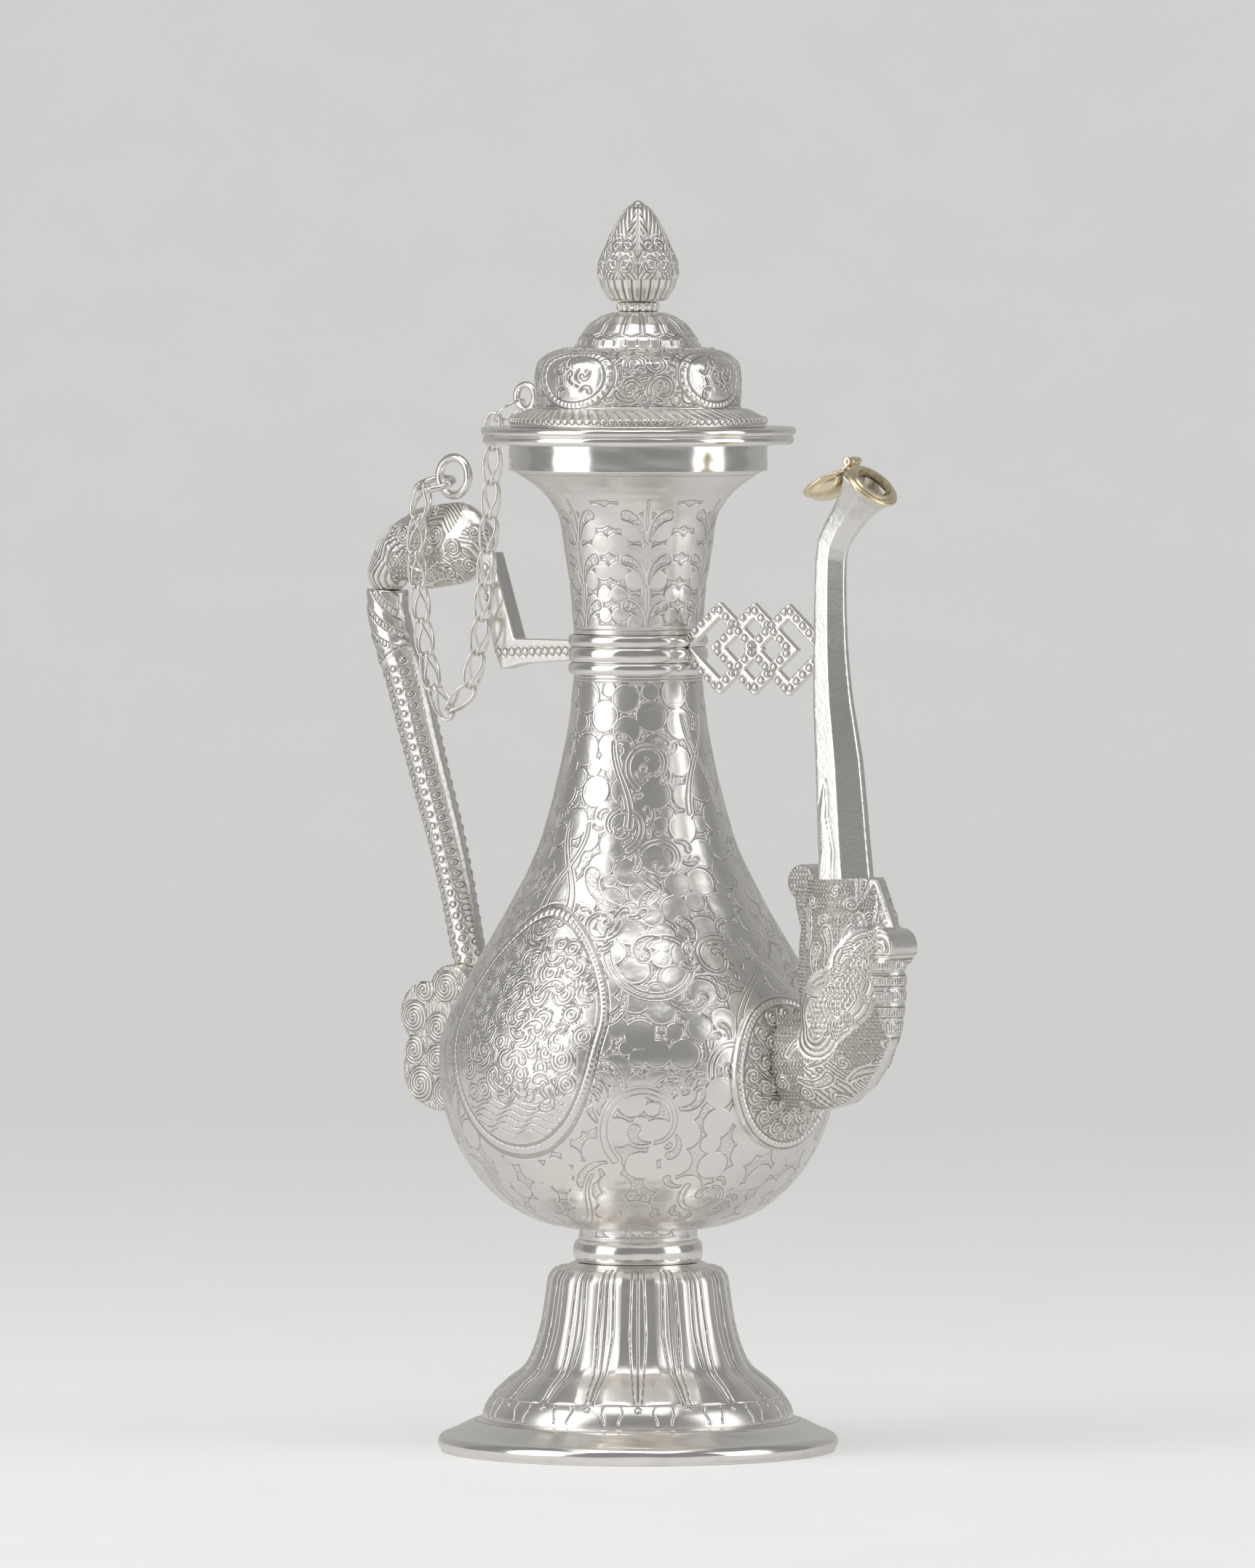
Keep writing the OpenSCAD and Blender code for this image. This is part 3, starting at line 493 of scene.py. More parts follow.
def stroke(skin, angle, s, points, width0, width1, kind="leaf"):
    """A tapered stroke through points (x, y) in millimetres from a place on the skin. A leaf is a ring-punched
    field in a cut outline, a stem is a plain band between two lines, a cut is one line."""
    p = np.asarray(points, float)
    reach = np.abs(p).max() + max(width0, width1) + 2
    index, x, y = skin.near(angle, s, reach)
    if not len(index):
        return
    best = np.full(len(index), 1e9)
    total = np.r_[0, np.cumsum(np.linalg.norm(np.diff(p, axis=0), axis=1))]
    for i, t, away in stretches(p, x, y):
        share = (total[i] + t * (total[i + 1] - total[i])) / total[-1]
        half = (width0 + (width1 - width0) * share) / 2
        best = np.minimum(best, away - half)
    ink(skin, index, best, kind)


def ink(skin, index, away, kind, margin=1.1):
    """Draws a shape from its signed distances: inside is below zero. The fields stay signed, so that their
    lines stay sharp between the corners."""
    line, grain = skin.line[index], skin.grain[index]
    if kind == "leaf":
        line = np.maximum(line, 0.9 * margin - away)
        grain = np.maximum(np.minimum(grain, away - margin), -away)
    else:
        line = np.minimum(line, away)
        if kind == "stem":
            grain = np.minimum(grain, away - margin)
    skin.line[index], skin.grain[index] = line, grain


def comma(skin, angle, s, x, y, heading, length, width, turn):
    """A ring-punched leaf that starts thin at a place and curls to a round end."""
    a = math.radians(heading)
    t = np.linspace(0, 1, 12)
    bend = turn * math.radians(150)
    way = a + bend * t**1.6
    stroke(skin, angle, s, walk((x, y), way, length), 0.4, width)


def scroll(skin, angle, s, radius, turn=1, start=200, sweep=430, leaves=7):
    """A volute: a stem that winds in to a punched bulb, with leaves along its outside."""
    n = 44
    t = np.linspace(0, 1, n)
    a = np.radians(start + turn * sweep * t)
    r = radius * (1 - 0.8 * t**0.85)
    p = np.stack([r * np.cos(a), r * np.sin(a)], -1)
    for k in range(leaves):
        i = int((0.02 + 0.56 * k / max(leaves - 1, 1)) * n)
        way = math.degrees(a[i]) + turn * 55
        size = radius * (0.92 - 0.055 * k)
        bend = turn * (0.8 if k % 2 else -0.7)
        comma(skin, angle, s, *(p[i] * 1.04), way - turn * 12, size, size * 0.27, bend)
    stroke(skin, angle, s, p[: n - 6], 0.9 + 0.08 * radius, 0.9, "stem")
    comma(skin, angle, s, *p[n - 12], math.degrees(a[n - 12]) + turn * 90, radius * 0.55, radius * 0.24, turn)


def saw(value, pitch):
    """Signed distance to lines one pitch apart."""
    return abs(np.mod(value, 2 * pitch) - pitch) - pitch / 2


def lobes(skin, low, high, small, large, seed, tries=2600, gap=0.0):
    """Fills a band with round lobes that touch like clouds, the largest first, on ring-punched ground."""
    draw = np.random.default_rng(seed)
    placed = np.empty((0, 4))
    where = []
    for size in np.linspace(large, small, 6):
        for _ in range(tries):
            s, a = draw.uniform(low + size * 0.6, high - size * 0.6), draw.uniform(0, 2 * np.pi)
            r = skin.r_at(s)
            here = (r * math.cos(a), r * math.sin(a), s)
            if np.all(np.linalg.norm(placed[:, :3] - here, axis=1) > placed[:, 3] + size + gap):
                placed = np.vstack([placed, (*here, size)])
                where.append((a, s, size))
    field = np.full(len(skin.s), FAR)
    for a, s, size in where:
        index, x, y = skin.near(a, s, size + 3)
        field[index] = np.minimum(field[index], np.hypot(x, y) - size)
    band = np.minimum(skin.s - low, high - skin.s)
    skin.grain = np.maximum(skin.grain, np.minimum(np.minimum(field, 2.5), band))


def relief(skin, pillow=0.2, sink=0.14, sway=0.16):
    """Lifts the plain fields between their lines, sinks the punched ones, and adds the hammer's unevenness."""
    line = np.minimum(abs(skin.line), abs(skin.grain))
    skin.rise += pillow * (1 - np.exp(-np.minimum(line, 4) / 1.1)) * (skin.grain < 0)
    skin.rise -= sink * np.clip(skin.grain / 0.6, 0, 1)
    skin.rise -= pillow
    a = skin.angle
    skin.rise += sway * (np.sin(3 * a + skin.s * 0.11) * np.sin(skin.s * 0.17 + 1) * 0.5
                         + np.sin(7 * a - skin.s * 0.23) * np.sin(5 * a + skin.s * 0.31) * 0.35)


def ring_line(skin, s):
    """A line cut all the way round with plain metal beside it."""
    away = skin.s - s
    skin.line = np.where(abs(away) < abs(skin.line), away, skin.line)
    skin.grain = np.minimum(skin.grain, abs(away) - 0.6)


def oval(skin, angle, s, half_w, half_h, kind, point=0.0, grow=0.0):
    """An upright oval, drawn out to a point at its top."""
    index, x, y = skin.near(angle, s, max(half_w, half_h) * (1 + point) + 4)
    up = np.clip(y / half_h, 0, 1.6)
    w = half_w * (1 - point * up**1.5)
    k = np.hypot(x / w, y / half_h)
    away = (k - 1) * (half_w + half_h) / 2 * np.clip(k, 0.75, 1.2) ** -1 - grow
    if kind == "clear":
        skin.line[index] = np.maximum(skin.line[index], -away)
        skin.grain[index] = np.minimum(skin.grain[index], away)
        return
    if kind == "beads":
        turn = np.arctan2(y, x)
        spacing = 2 * np.pi / round(2 * np.pi * (half_w + half_h) / 2 / 1.7)
        bead = np.hypot(away, (np.mod(turn, spacing) - spacing / 2) * np.hypot(x, y))
        near = abs(away) < 0.85
        skin.rise[index] += np.where(near, 0.28 * np.clip(1 - (bead / 0.85) ** 2, 0, 1), 0)
        skin.grain[index] = np.minimum(skin.grain[index], abs(away) - 1.6)
        skin.line[index] = np.minimum(np.maximum(skin.line[index], 1.6 - abs(away)), abs(away) - 1.1)
        return
    ink(skin, index, abs(away) - 0.15, kind)


def cartouche(skin, angle, s):
    """Close foliage and clouds inside the frame: fans of arcs, small leaves and wavy lines at the bottom."""
    draw = np.random.default_rng(3)
    placed = []
    for _ in range(2600):
        x, y, size = draw.uniform(-26, 26), draw.uniform(-20, 42), draw.uniform(2.2, 4.4)
        w = 25 * (1 - 0.35 * max(0, y / 36) ** 1.5)
        if (x / w) ** 2 + (y / 34) ** 2 < 0.93 and all(
                math.hypot(x - q[0], y - q[1]) > (size + q[2]) * 0.78 for q in placed):
            placed.append((x, y, size))
    for x, y, size in placed:
        index, u, v = skin.near(angle + x / skin.r_at(s + y), s + y, size + 0.3)
        away = np.hypot(u, v)
        within = away < size
        skin.line[index] = np.where(within, saw(away - size, 1.15), np.minimum(skin.line[index], away - size))
        skin.rise[index] += np.where(within, 0.13 * (1 - (away / size) ** 2), 0)
    for _ in range(30):
        x, y, size = placed[draw.integers(len(placed))]
        comma(skin, angle, s, x, y, draw.uniform(0, 360), draw.uniform(6, 10), 2.6, draw.choice([-1, 1]))
    for k in range(6):
        x = np.linspace(-19 + k, 19 - k, 30)
        y = -22 - 1.9 * k + 0.9 * np.sin(x * 0.55 + k)
        stroke(skin, angle, s, np.stack([x, y], -1), 0.1, 0.1, "cut")


def vine(skin, angle, s, side, x0, y0, lean, bend, length, width):
    """A winding double-lined stem."""
    t = np.linspace(0, 1, 16)
    way = np.radians(lean + bend * np.sin(t * 3.1))
    stroke(skin, angle, s, walk((x0, y0), way, length) * (side, 1), width, width * 0.4, "stem")


# ---------- body, neck and foot ----------

PANELS = (-45, 45, 135, 225)
SCROLLS = (  # turn from the panel's middle, height, radius, way round, start, sweep, leaves
    (3, 148, 18, 1, 120, 440, 6), (-2, 100, 15, -1, 230, 420, 6), (9, 176, 9.5, -1, 250, 420, 5),
    (-16, 186, 7.5, 1, 290, 420, 5), (4, 204, 8, -1, 240, 430, 6), (24, 117, 8.5, -1, 200, 400, 6),
    (-23, 112, 7, 1, 80, 420, 5), (22, 78, 9, 1, 150, 420, 6), (25, 148, 7.5, 1, 60, 420, 5),
    (-21, 158, 7, -1, 20, 400, 5),
)
VINES = ((-26, 160, 62, 40, 30, 2.2), (27, 125, 100, -46, 34, 2.2), (-20, 68, 60, 40, 28, 2.0),
         (-5, 186, 80, 30, 26, 1.7), (14, 190, 98, -30, 30, 1.6))
CARTOUCHE_Z = 128
CARTOUCHE = (27, 36)  # half width and half height


def body():
    skin = shell("body_bowl", 0.5, 900, 3.0, floor=True)
    top = skin.s_at(229)
    lobes(skin, 1.5, top - 1, 2.3, 4.8, 5, 2600, -1.3)
    for k, degrees in enumerate(PANELS):
        side = 1 if k % 2 == 0 else -1
        a = math.radians(degrees)
        for turn_by, z, radius, turn, start, sweep, leaves in SCROLLS:
            scroll(skin, a + side * math.radians(turn_by), skin.s_at(z), radius, turn * side,
                   start if side > 0 else 180 - start, sweep, leaves)
        for x, z, lean, bend, length, width in VINES:
            vine(skin, a, skin.s_at(z), side, x, 0, lean, bend, length, width)
    for degrees in (-90, 90):
        a, s = math.radians(degrees), skin.s_at(CARTOUCHE_Z)
        oval(skin, a, s, *CARTOUCHE, "clear", 0.35, 3.4)
        cartouche(skin, a, s)
        oval(skin, a, s, *CARTOUCHE, "beads", 0.35, 1.5)
        for grow in (0.0, 3.2):
            oval(skin, a, s, *CARTOUCHE, "cut", 0.35, grow)
    ring_line(skin, top)
    relief(skin, 0.07, 0.06, 0.12)
    skin.make("engraved_body", ["body_bowl"], ENGRAVED)


def neck():
    skin = shell("neck_flare", 0.45, 620)
    high = skin.run[-1]
    ribs = 6
    half = math.radians(180 / ribs)
    first = np.full(len(skin.s), FAR)
    for k in range(ribs):
        a = math.radians(-43 + 360 / ribs * k)
        for z, size in ((245.5, 2.4), (251.5, 2.7), (258, 3.0), (265.5, 3.5), (273.5, 4.1), (281.5, 4.8)):
            for side in (-1, 1):
                for share, up in ((0.33, 0), (0.78, 0.95)):
                    index, x, y = skin.near(a + side * half * share, skin.s_at(z) + up * size, size + 4)
                    first[index] = np.minimum(first[index], np.hypot(x, y) - size)
    skin.grain = np.minimum(np.minimum(first, 2.5), np.minimum(skin.s - 3, high - 14 - skin.s))
    for k in range(ribs):
        a = math.radians(-43 + 360 / ribs * k)
        base = skin.s_at(245)
        stroke(skin, a, base, [(0, 0), (0, high - base - 14)], 1.0, 0.6, "stem")
        for z, size in ((245, 7.5), (257.5, 9), (270, 10)):
            for side in (-1, 1):
                comma(skin, a, skin.s_at(z), side * 0.8, 0, 90 - side * 14, size, 3.0, -side * 0.45)
    ring_line(skin, high - 2.5)
    ring_line(skin, 1.6)
    relief(skin, 0.12, 0.1, 0.08)
    skin.make("engraved_neck", ["neck_flare"], ENGRAVED)


PETALS = 18
PETAL_LINE = -50
PETAL_TIP, PETAL_ROUND = 0.9, 4.2


def petals(skin, top):
    """Long petals between double lines, with round tips at the foot and straight sides up to the top."""
    period = 2 * np.pi / PETALS
    turn = np.mod(skin.angle - math.radians(PETAL_LINE), period) - period / 2
    y = skin.s - PETAL_TIP
    half = period / 2 * skin.r
    gap = np.interp(y, [0, 9, 27, top], [0.8, 1.5, 2.4, 1.6])
    side = half - gap - abs(turn) * skin.r
    tip = PETAL_ROUND - np.hypot(PETAL_ROUND - side, PETAL_ROUND - y)
    low = np.where((side < PETAL_ROUND) & (y < PETAL_ROUND), tip, np.minimum(side, y))
    inside = (y > -1) & (y < top)
    divider = np.where((y > 4) & (y < top), abs(half - abs(turn) * skin.r), FAR)
    skin.line = np.minimum(skin.line, np.minimum(np.where(inside, abs(low), FAR), divider))
    skin.rise += 0.6 * np.clip(low / 3.2, 0, 1) ** 0.7 * np.clip((top - y) / 3, 0, 1) * (low > 0) * inside
    skin.rise -= 0.25 * np.exp(-(divider / 0.5) ** 2) * inside


def foot():
    bell = shell("foot_bell", 0.45, 720)
    petals(bell, bell.run[-1] - 3.0)
    bell.rise -= 0.2
    bell.make("petal_bell", ["foot_bell"], TURNED)
    step = shell("foot_step", 0.3, 720)
    period = 2 * np.pi / PETALS
    turn = np.mod(step.angle - math.radians(PETAL_LINE) + period / 2, period) - period / 2
    spread = math.radians(6.6) + 0.012 * np.sin(step.s * 0.9)
    step.line = np.where(step.s > 0.8, abs(abs(turn) - spread) * step.r, FAR)
    step.rise -= 0.25 * np.exp(-(step.line / 0.45) ** 2)
    dot = np.hypot(turn * step.r, step.s - step.run[-1] + 1.4)
    step.rise += 0.35 * np.clip(1 - (dot / 0.9) ** 2, 0, 1)
    step.line = np.where(dot < 1.3, abs(dot - 1.0), step.line)
    step.make("petal_step", ["foot_step"], TURNED)
    rim = shell("foot_rim", 0.4, 360)
    ring_line(rim, rim.run[-1] - 2.2)
    rim.rise += 0.06 * np.sin(11 * rim.angle + rim.s) * np.sin(5 * rim.angle)
    rim.make("polished_rim", ["foot_rim"], POLISHED_LINES)
    for node, low in (("foot_collar", 0.5), ("neck_wire_lower", 0), ("neck_band", 0), ("neck_wire_upper", 0),
                      ("mouth_cup", 0)):
        ring = shell(node, 0.25, 256)
        ring.rise += 0.04 * np.sin(7 * ring.angle + low) * np.sin(4 * ring.angle + ring.s)
        ring.make("turned_" + node, [node], POLISHED)
    for node, seed in (("mouth_rim", 0.0), ("lid_plate", 2.0)):
        rim = shell(node, 0.3, 360)
        rim.rise += 0.16 * np.sin(17 * rim.angle + seed) * np.sin(6 * rim.angle + 2 * seed)
        rim.make("turned_" + node, [node], POLISHED)
    shell("lid_plug", 0.4, 180).make("turned_plug", ["lid_plug"], POLISHED)


# ---------- lid ----------

def beads(skin, s, count, size, lift, phase=0.0):
    """A row of beads around the skin."""
    period = 2 * np.pi / count
    turn = (np.mod(skin.angle + phase, period) - period / 2) * skin.r
    away = np.hypot(turn, skin.s - s) / size
    skin.rise += lift * rounded(away)
    ring = np.minimum(skin.line, abs(away - 1) * size + 0.05)
    skin.line = np.where(abs(skin.s - s) < size * 1.25, ring, skin.line)


DRUM_SCROLLS = ((-4.6, -2.2, 4.4, 1), (4.6, -2.2, 4.4, -1), (-3.0, 5.4, 3.0, -1), (3.0, 5.4, 3.0, 1))


def lid():
    base = shell("lid_base_ring", 0.22, 960)
    end = base.run[-1]
    wide = 2 * np.pi * 36 / 72
    phase = np.mod(72 * base.angle / (2 * np.pi) + base.s * 0.16, 1)
    valley = (0.5 - abs(phase - 0.5)) * wide
    field = (base.s > 3.0) & (base.s < end - 0.4)
    base.rise += np.where(field, 0.5 * np.sqrt(np.clip(valley / wide * 2, 0, 1)) - 0.25, 0)
    base.line = np.where(field, valley, FAR)
    beads(base, 2.3, 96, 1.05, 0.55)
    base.make("gadroon_ring", ["lid_base_ring"], CHASED)

    drum = shell("lid_drum", 0.28, 840)
    middle = drum.s_at(317)
    top = drum.s_at(326) if drum.rows[-1, 1] > 326 else drum.run[-1]
    lobes(drum, 0.8, top + 8, 1.1, 2.2, 21, 900)
    for k in range(4):
        a = math.radians(45 + 90 * k)
        for x, y, radius, turn in DRUM_SCROLLS:
            scroll(drum, a + x / 29, middle + y, radius, turn, 200, 470, 4)
    for k in range(4):
        a = math.radians(90 * k)
        oval(drum, a, middle + 1.2, 11.5, 7.6, "clear", 0, 1.6)
        for j in range(11):
            x, y = 8.2 * math.cos(j * 2.4) * math.sqrt(j / 11), 5.0 * math.sin(j * 2.4) * math.sqrt(j / 11)
            comma(drum, a, middle + 1.2, x, y, j * 77, 4.2, 1.5, 1 if j % 2 else -1)
        oval(drum, a, middle + 1.2, 11.5, 7.6, "beads", 0, 1.0)
    beads(drum, top + 1.5, 110, 0.8, 0.3)
    relief(drum, 0.26, 0.14, 0.04)
    drum.make("chased_drum", ["lid_drum"], CHASED)

    dome = shell("lid_dome", 0.22, 720)
    period = 2 * np.pi / 16
    turn = np.mod(dome.angle, period) - period / 2
    band = dome.s_at(329.3)
    high = dome.run[-1]
    half = period / 2 * dome.r
    side = half * 0.8 - abs(turn) * dome.r
    low = np.minimum(side, (dome.s - band - 0.8) * 0.8 - 0.35 * abs(turn) * dome.r)
    tier = (dome.s > band + 0.4) & (dome.s < high - 1.2)
    dome.line = np.where(tier, np.minimum(abs(low), abs(low + 0.9)), FAR)
    swell = 0.3 * np.clip(low / 1.2, 0, 1) * np.clip((high - dome.s) / 2, 0, 1)
    dome.rise += np.where(dome.s > band, swell, 0)
    small = np.mod(dome.angle, period / 2) - period / 4
    upright = np.where((dome.s > 0.8) & (dome.s < band - 0.3), abs(small) * dome.r, FAR)
    dome.rise -= 0.22 * np.exp(-(upright / 0.35) ** 2)
    dome.line = np.minimum(dome.line, upright)
    dome.make("petal_dome", ["lid_dome"], TURNED)

    collar = shell("finial_collar", 0.18, 300)
    collar.rise += 0.3 * np.sin(18 * collar.angle) * np.sin(collar.s * 2.6)
    collar.rise += 0.12 * np.sin(31 * collar.angle + 3)
    collar.line = 0.3 + 0.6 * abs(np.sin(18 * collar.angle) + np.sin(collar.s * 2.6))
    collar.make("rough_collar", ["finial_collar"], CHASED)
    bud()


def bud():
    """A bud with a fluted calyx, ribbed leaves in two tiers and a curl on each leaf."""
    skin = shell("finial_bud", 0.2, 480)
    calyx = skin.s_at(347.2)
    tip = skin.run[-1]
    flute = abs(np.mod(24 * skin.angle / (2 * np.pi), 1) - 0.5) * 2
    below = skin.s < calyx
    skin.rise += np.where(below, 0.42 * (1 - flute**2), 0) * np.clip(skin.s / 2, 0, 1)
    skin.line = np.where(below, (1 - flute) * skin.r * np.pi / 24, FAR)
    for start, length, count, turn_by in ((calyx - 0.5, 17, 6, 0.5), (calyx + 8, 16, 6, 0.0)):
        for k in range(count):
            a = 2 * np.pi * (k + turn_by) / count - 0.87
            index, x, y = skin.near(a, start, length + 1)
            t = np.clip(y / length, 0, 1)
            wide = np.pi * skin.r_at(start) / count * 1.04 * np.sqrt(np.clip(1 - t**2.2, 0, 1))
            away = abs(x) - wide
            inside = (away < 0) & (y > 0)
            rib = abs(np.mod(abs(x) * 0.9 + 0.55 * y, 1.3) - 0.65)
            leaf = np.minimum(np.where(abs(x) > 0.5, rib, FAR), -away)
            lay(skin.line, index, inside, np.minimum(leaf, abs(x) + 0.1))
            lift = 0.5 * np.sqrt(np.clip(-away / 2.5, 0, 1)) + 0.12 * np.clip(rib / 0.6, 0, 1)
            lay(skin.rise, index, inside, lift)
    for k in range(6):
        a = 2 * np.pi * (k + 0.5) / 6 - 0.87
        for side in (-1, 1):
            scroll(skin, a + side * 0.21, calyx + 3.4, 2.5, side, 90, 480, 2)
            scroll(skin, a + side * 0.16, calyx + 9.4, 1.8, -side, 90, 480, 1)
    skin.rise *= np.clip((tip - skin.s) / 3, 0, 1)
    skin.rise += 0.1 * (1 - np.exp(-np.minimum(abs(skin.line), 3) / 0.5))
    skin.make("leaf_bud", ["finial_bud"], CHASED)


# ---------- carved skins, engraved from the side ----------

class Carved:
    """A dense skin of any shape, engraved square to one axis; the other two coordinates are angle and s."""

    def __init__(self, node, voxel, rounds=6, across=(0, 2), faces=1):
        self.made = fine(node, "carved_" + node, voxel, rounds)
        self.co, self.normal = corners(self.made)
        self.x, self.y = self.co[:, across[0]], self.co[:, across[1]]
        self.facing = abs(self.normal[:, faces])
        self.line = np.full(len(self.co), FAR)
        self.grain = np.full(len(self.co), -FAR)
        self.rise = np.zeros(len(self.co))

    def near(self, x, y, reach):
        close = (abs(self.x - x) <= reach) & (abs(self.y - y) <= reach) & (self.facing > 0.2)
        index = np.flatnonzero(close)
        return index, self.x[index] - x, self.y[index] - y

    def r_at(self, s):
        """Angles are millimetres here."""
        return 1.0

    def dots(self, x, y, reach, pitch, size, lift, lean=0.0, shape=None):
        """Round studs in staggered rows."""
        index, u, v = self.near(x, y, reach)
        c, d = math.cos(lean), math.sin(lean)
        a, b = u * c + v * d, v * c - u * d
        row = np.round(b / (pitch * 0.87))
        a = np.mod(a + row * pitch / 2 + pitch / 2, pitch) - pitch / 2
        away = np.hypot(a, b - row * pitch * 0.87)
        here = np.ones(len(index), bool) if shape is None else shape(u, v)
        self.rise[index] += np.where(here, lift * rounded(away / size), 0)
        lay(self.line, index, here, np.minimum(self.line[index], away - size))

    def curl(self, x, y, radius, turn=1, lift=0.5, rings=1.25):
        """A raised round cloud cut by a spiral."""
        index, u, v = self.near(x, y, radius + 0.4)
        away = np.hypot(u, v)
        within = away < radius
        line = saw(away + turn * np.arctan2(v, u) * rings / np.pi, rings)
        self.line[index] = np.where(within, line, np.minimum(self.line[index], away - radius))
        lay(self.grain, index, within, -FAR)
        dome = lift * (rounded(away / radius) - 0.3 * np.exp(-(line / 0.3) ** 2))
        lay(self.rise, index, within, dome)

    def curls(self, table, lift, rings):
        for x, y, radius, turn in table:
            self.curl(x, y, radius, turn, lift, rings)

    def hatch(self, x, y, reach, lean, pitch, lift, shape=None, bend=0.0):
        """Short close ribs side by side."""
        index, u, v = self.near(x, y, reach)
        across = u * math.cos(lean) + v * math.sin(lean) + bend * np.hypot(u, v)
        rib = saw(across, pitch)
        here = (np.hypot(u, v) < reach) if shape is None else shape(u, v)
        lay(self.line, index, here, rib)
        self.rise[index] += np.where(here, lift * (2 * abs(rib) / pitch - 0.5), 0)

    def finish(self, nodes, material):
        fade = np.clip((self.facing - 0.15) / 0.25, 0, 1)
        near = np.minimum(abs(self.line), abs(self.grain))
        self.rise += 0.12 * (1 - np.exp(-np.minimum(near, 3) / 0.5)) - 0.12
        co = self.co + self.normal * (self.rise * fade)[:, None]
        fields = {"line": np.where(fade < 0.3, FAR, self.line), "grain": np.where(fade < 0.3, -FAR, self.grain)}
        return finish_skin(self.made, co, nodes, material, fields)


# ---------- handle ----------

MANE_END = 234
MANE_BAND = 4.2
HEAD_CURLS = (
    (-74, 270, 3.6, 1), (-67, 266, 2.9, -1), (-80.5, 273.5, 2.7, 1), (-62.5, 261, 2.5, 1),
    (-69, 258.5, 2.3, -1), (-87, 270, 2.8, -1), (-90, 262, 2.4, 1), (-60.5, 271, 1.9, -1),
    (-76, 277.5, 1.9, 1),
)
ROOT_CURLS = (
    (-76.5, 106, 5.4, 1), (-66.5, 104, 5.0, -1), (-79, 116, 4.4, -1), (-70, 113.5, 4.4, 1),
    (-62, 112, 3.6, -1), (-79, 126, 4.9, 1), (-69.5, 123, 4.6, -1), (-75, 134, 3.9, -1),
    (-66.5, 135.2, 4.8, 1), (-61, 127, 3.8, 1), (-61.5, 119.5, 3.4, -1), (-58, 138, 3.4, -1),
    (-58.5, 105, 3.6, 1),
)


def handle():
    grip = Carved("handle_grip", 0.42)
    x, z = grip.x, grip.y
    centre = np.interp(z, [140, 150, 235, 255], [-62, -66, -93, -100])
    edge = MANE_END + 0.55 * (x - centre)
    mane = z > edge
    around = np.arctan2(z - 236, x + 66)
    reach = np.hypot(z - 236, x + 66)
    arcs = abs(np.mod(reach * 0.35 + around * 26, MANE_BAND) - MANE_BAND / 2)
    rope = np.mod(reach * 1.0 + around * 8, 1.15)
    band = np.clip(arcs / 0.9, 0, 1)
    grip.rise += np.where(mane, 0.4 * band - 0.1 + 0.12 * (1 - band) * np.sin(rope * 2 * np.pi / 1.15), 0)
    strands = np.minimum(abs(arcs - 0.75), np.where(arcs < 0.75, abs(rope - 0.57), FAR))
    grip.line = np.where(mane, strands, grip.line)
    edge_line = abs(z - edge)
    grip.line = np.minimum(grip.line, edge_line)
    grip.rise += 0.3 * np.exp(-((edge_line - 0.7) / 0.6) ** 2)
    grip.dots(-80, 187, 50, 3.5, 0.95, 0.42, math.radians(108), lambda u, v: v + 187 < MANE_END - 3 + 0.55 * (
        u - 80 - np.interp(v + 187, [140, 150, 235, 255], [-62, -66, -93, -100])))
    draw = np.random.default_rng(9)
    grip.rise += 0.05 * draw.standard_normal(len(grip.rise)) * (1 - grip.facing)
    grip.finish(["handle_grip"], CHASED)

    head = Carved("handle_head", 0.34, 5)
    head.dots(-82, 262, 11, 1.7, 0.6, 0.22)
    for locks in ((-94, 268, 8, 2.4), (-66, 258, 7, 0.5), (-72, 276, 6, 1.2), (-60, 268, 5, 0.9),
                  (-100, 258, 7, 2.9), (-76, 254, 6, 0.1)):
        head.hatch(*locks, 1.15, 0.14, bend=0.5)
    head.curls(HEAD_CURLS, 0.6, 1.0)
    eye = np.hypot(head.x + 76.5, (head.y - 265.5) * 1.25)
    head.rise = np.where(eye < 2.1, 0.75 * rounded(eye / 2.1), head.rise)
    head.line = np.where(eye < 2.6, np.minimum(abs(eye - 2.15), abs(eye - 0.9)), head.line)
    for cx, cz, points in ((-86, 256, ((0, 0), (6, -1.4), (12, 0.6), (18, 1.0))),
                           (-84, 260, ((0, 0), (5, -1.4), (10, 1.6), (15, 1.6), (20, 3.2)))):
        stroke(head, cx, cz, points, 1.4, 0.7, "stem")
    head.finish(["handle_head"], CHASED)

    arm = Carved("handle_arm", 0.3, 3)
    studs(arm, (-56, 235.2), (-22, 236.5), 13, 1.15)
    studs(arm, (-57.2, 238.5), (-57.4, 262), 8, 1.15)
    arm.finish(["handle_arm"], CAST_CUT)

    root = Carved("handle_root", 0.4, 14)
    root.grain[:] = 1.0
    root.curls(ROOT_CURLS, 0.9, 1.1)
    root.finish(["handle_root"], CHASED)
    round_wire("handle_ring", WIRE)


def studs(skin, start, end, count, size=1.05):
    """Round studs in punched rings along a line."""
    for k in range(count):
        t = (k + 0.5) / count
        x, y = start[0] + (end[0] - start[0]) * t, start[1] + (end[1] - start[1]) * t
        index, u, v = skin.near(x, y, size * 1.6)
        away = np.hypot(u, v)
        skin.line[index] = np.minimum(skin.line[index], abs(away - size))
        skin.rise[index] += np.where(away < size, 0.28 * rounded(away / size) + 0.05,
                                     -0.12 * np.exp(-((away - size) / 0.3) ** 2))


# ---------- spout ----------

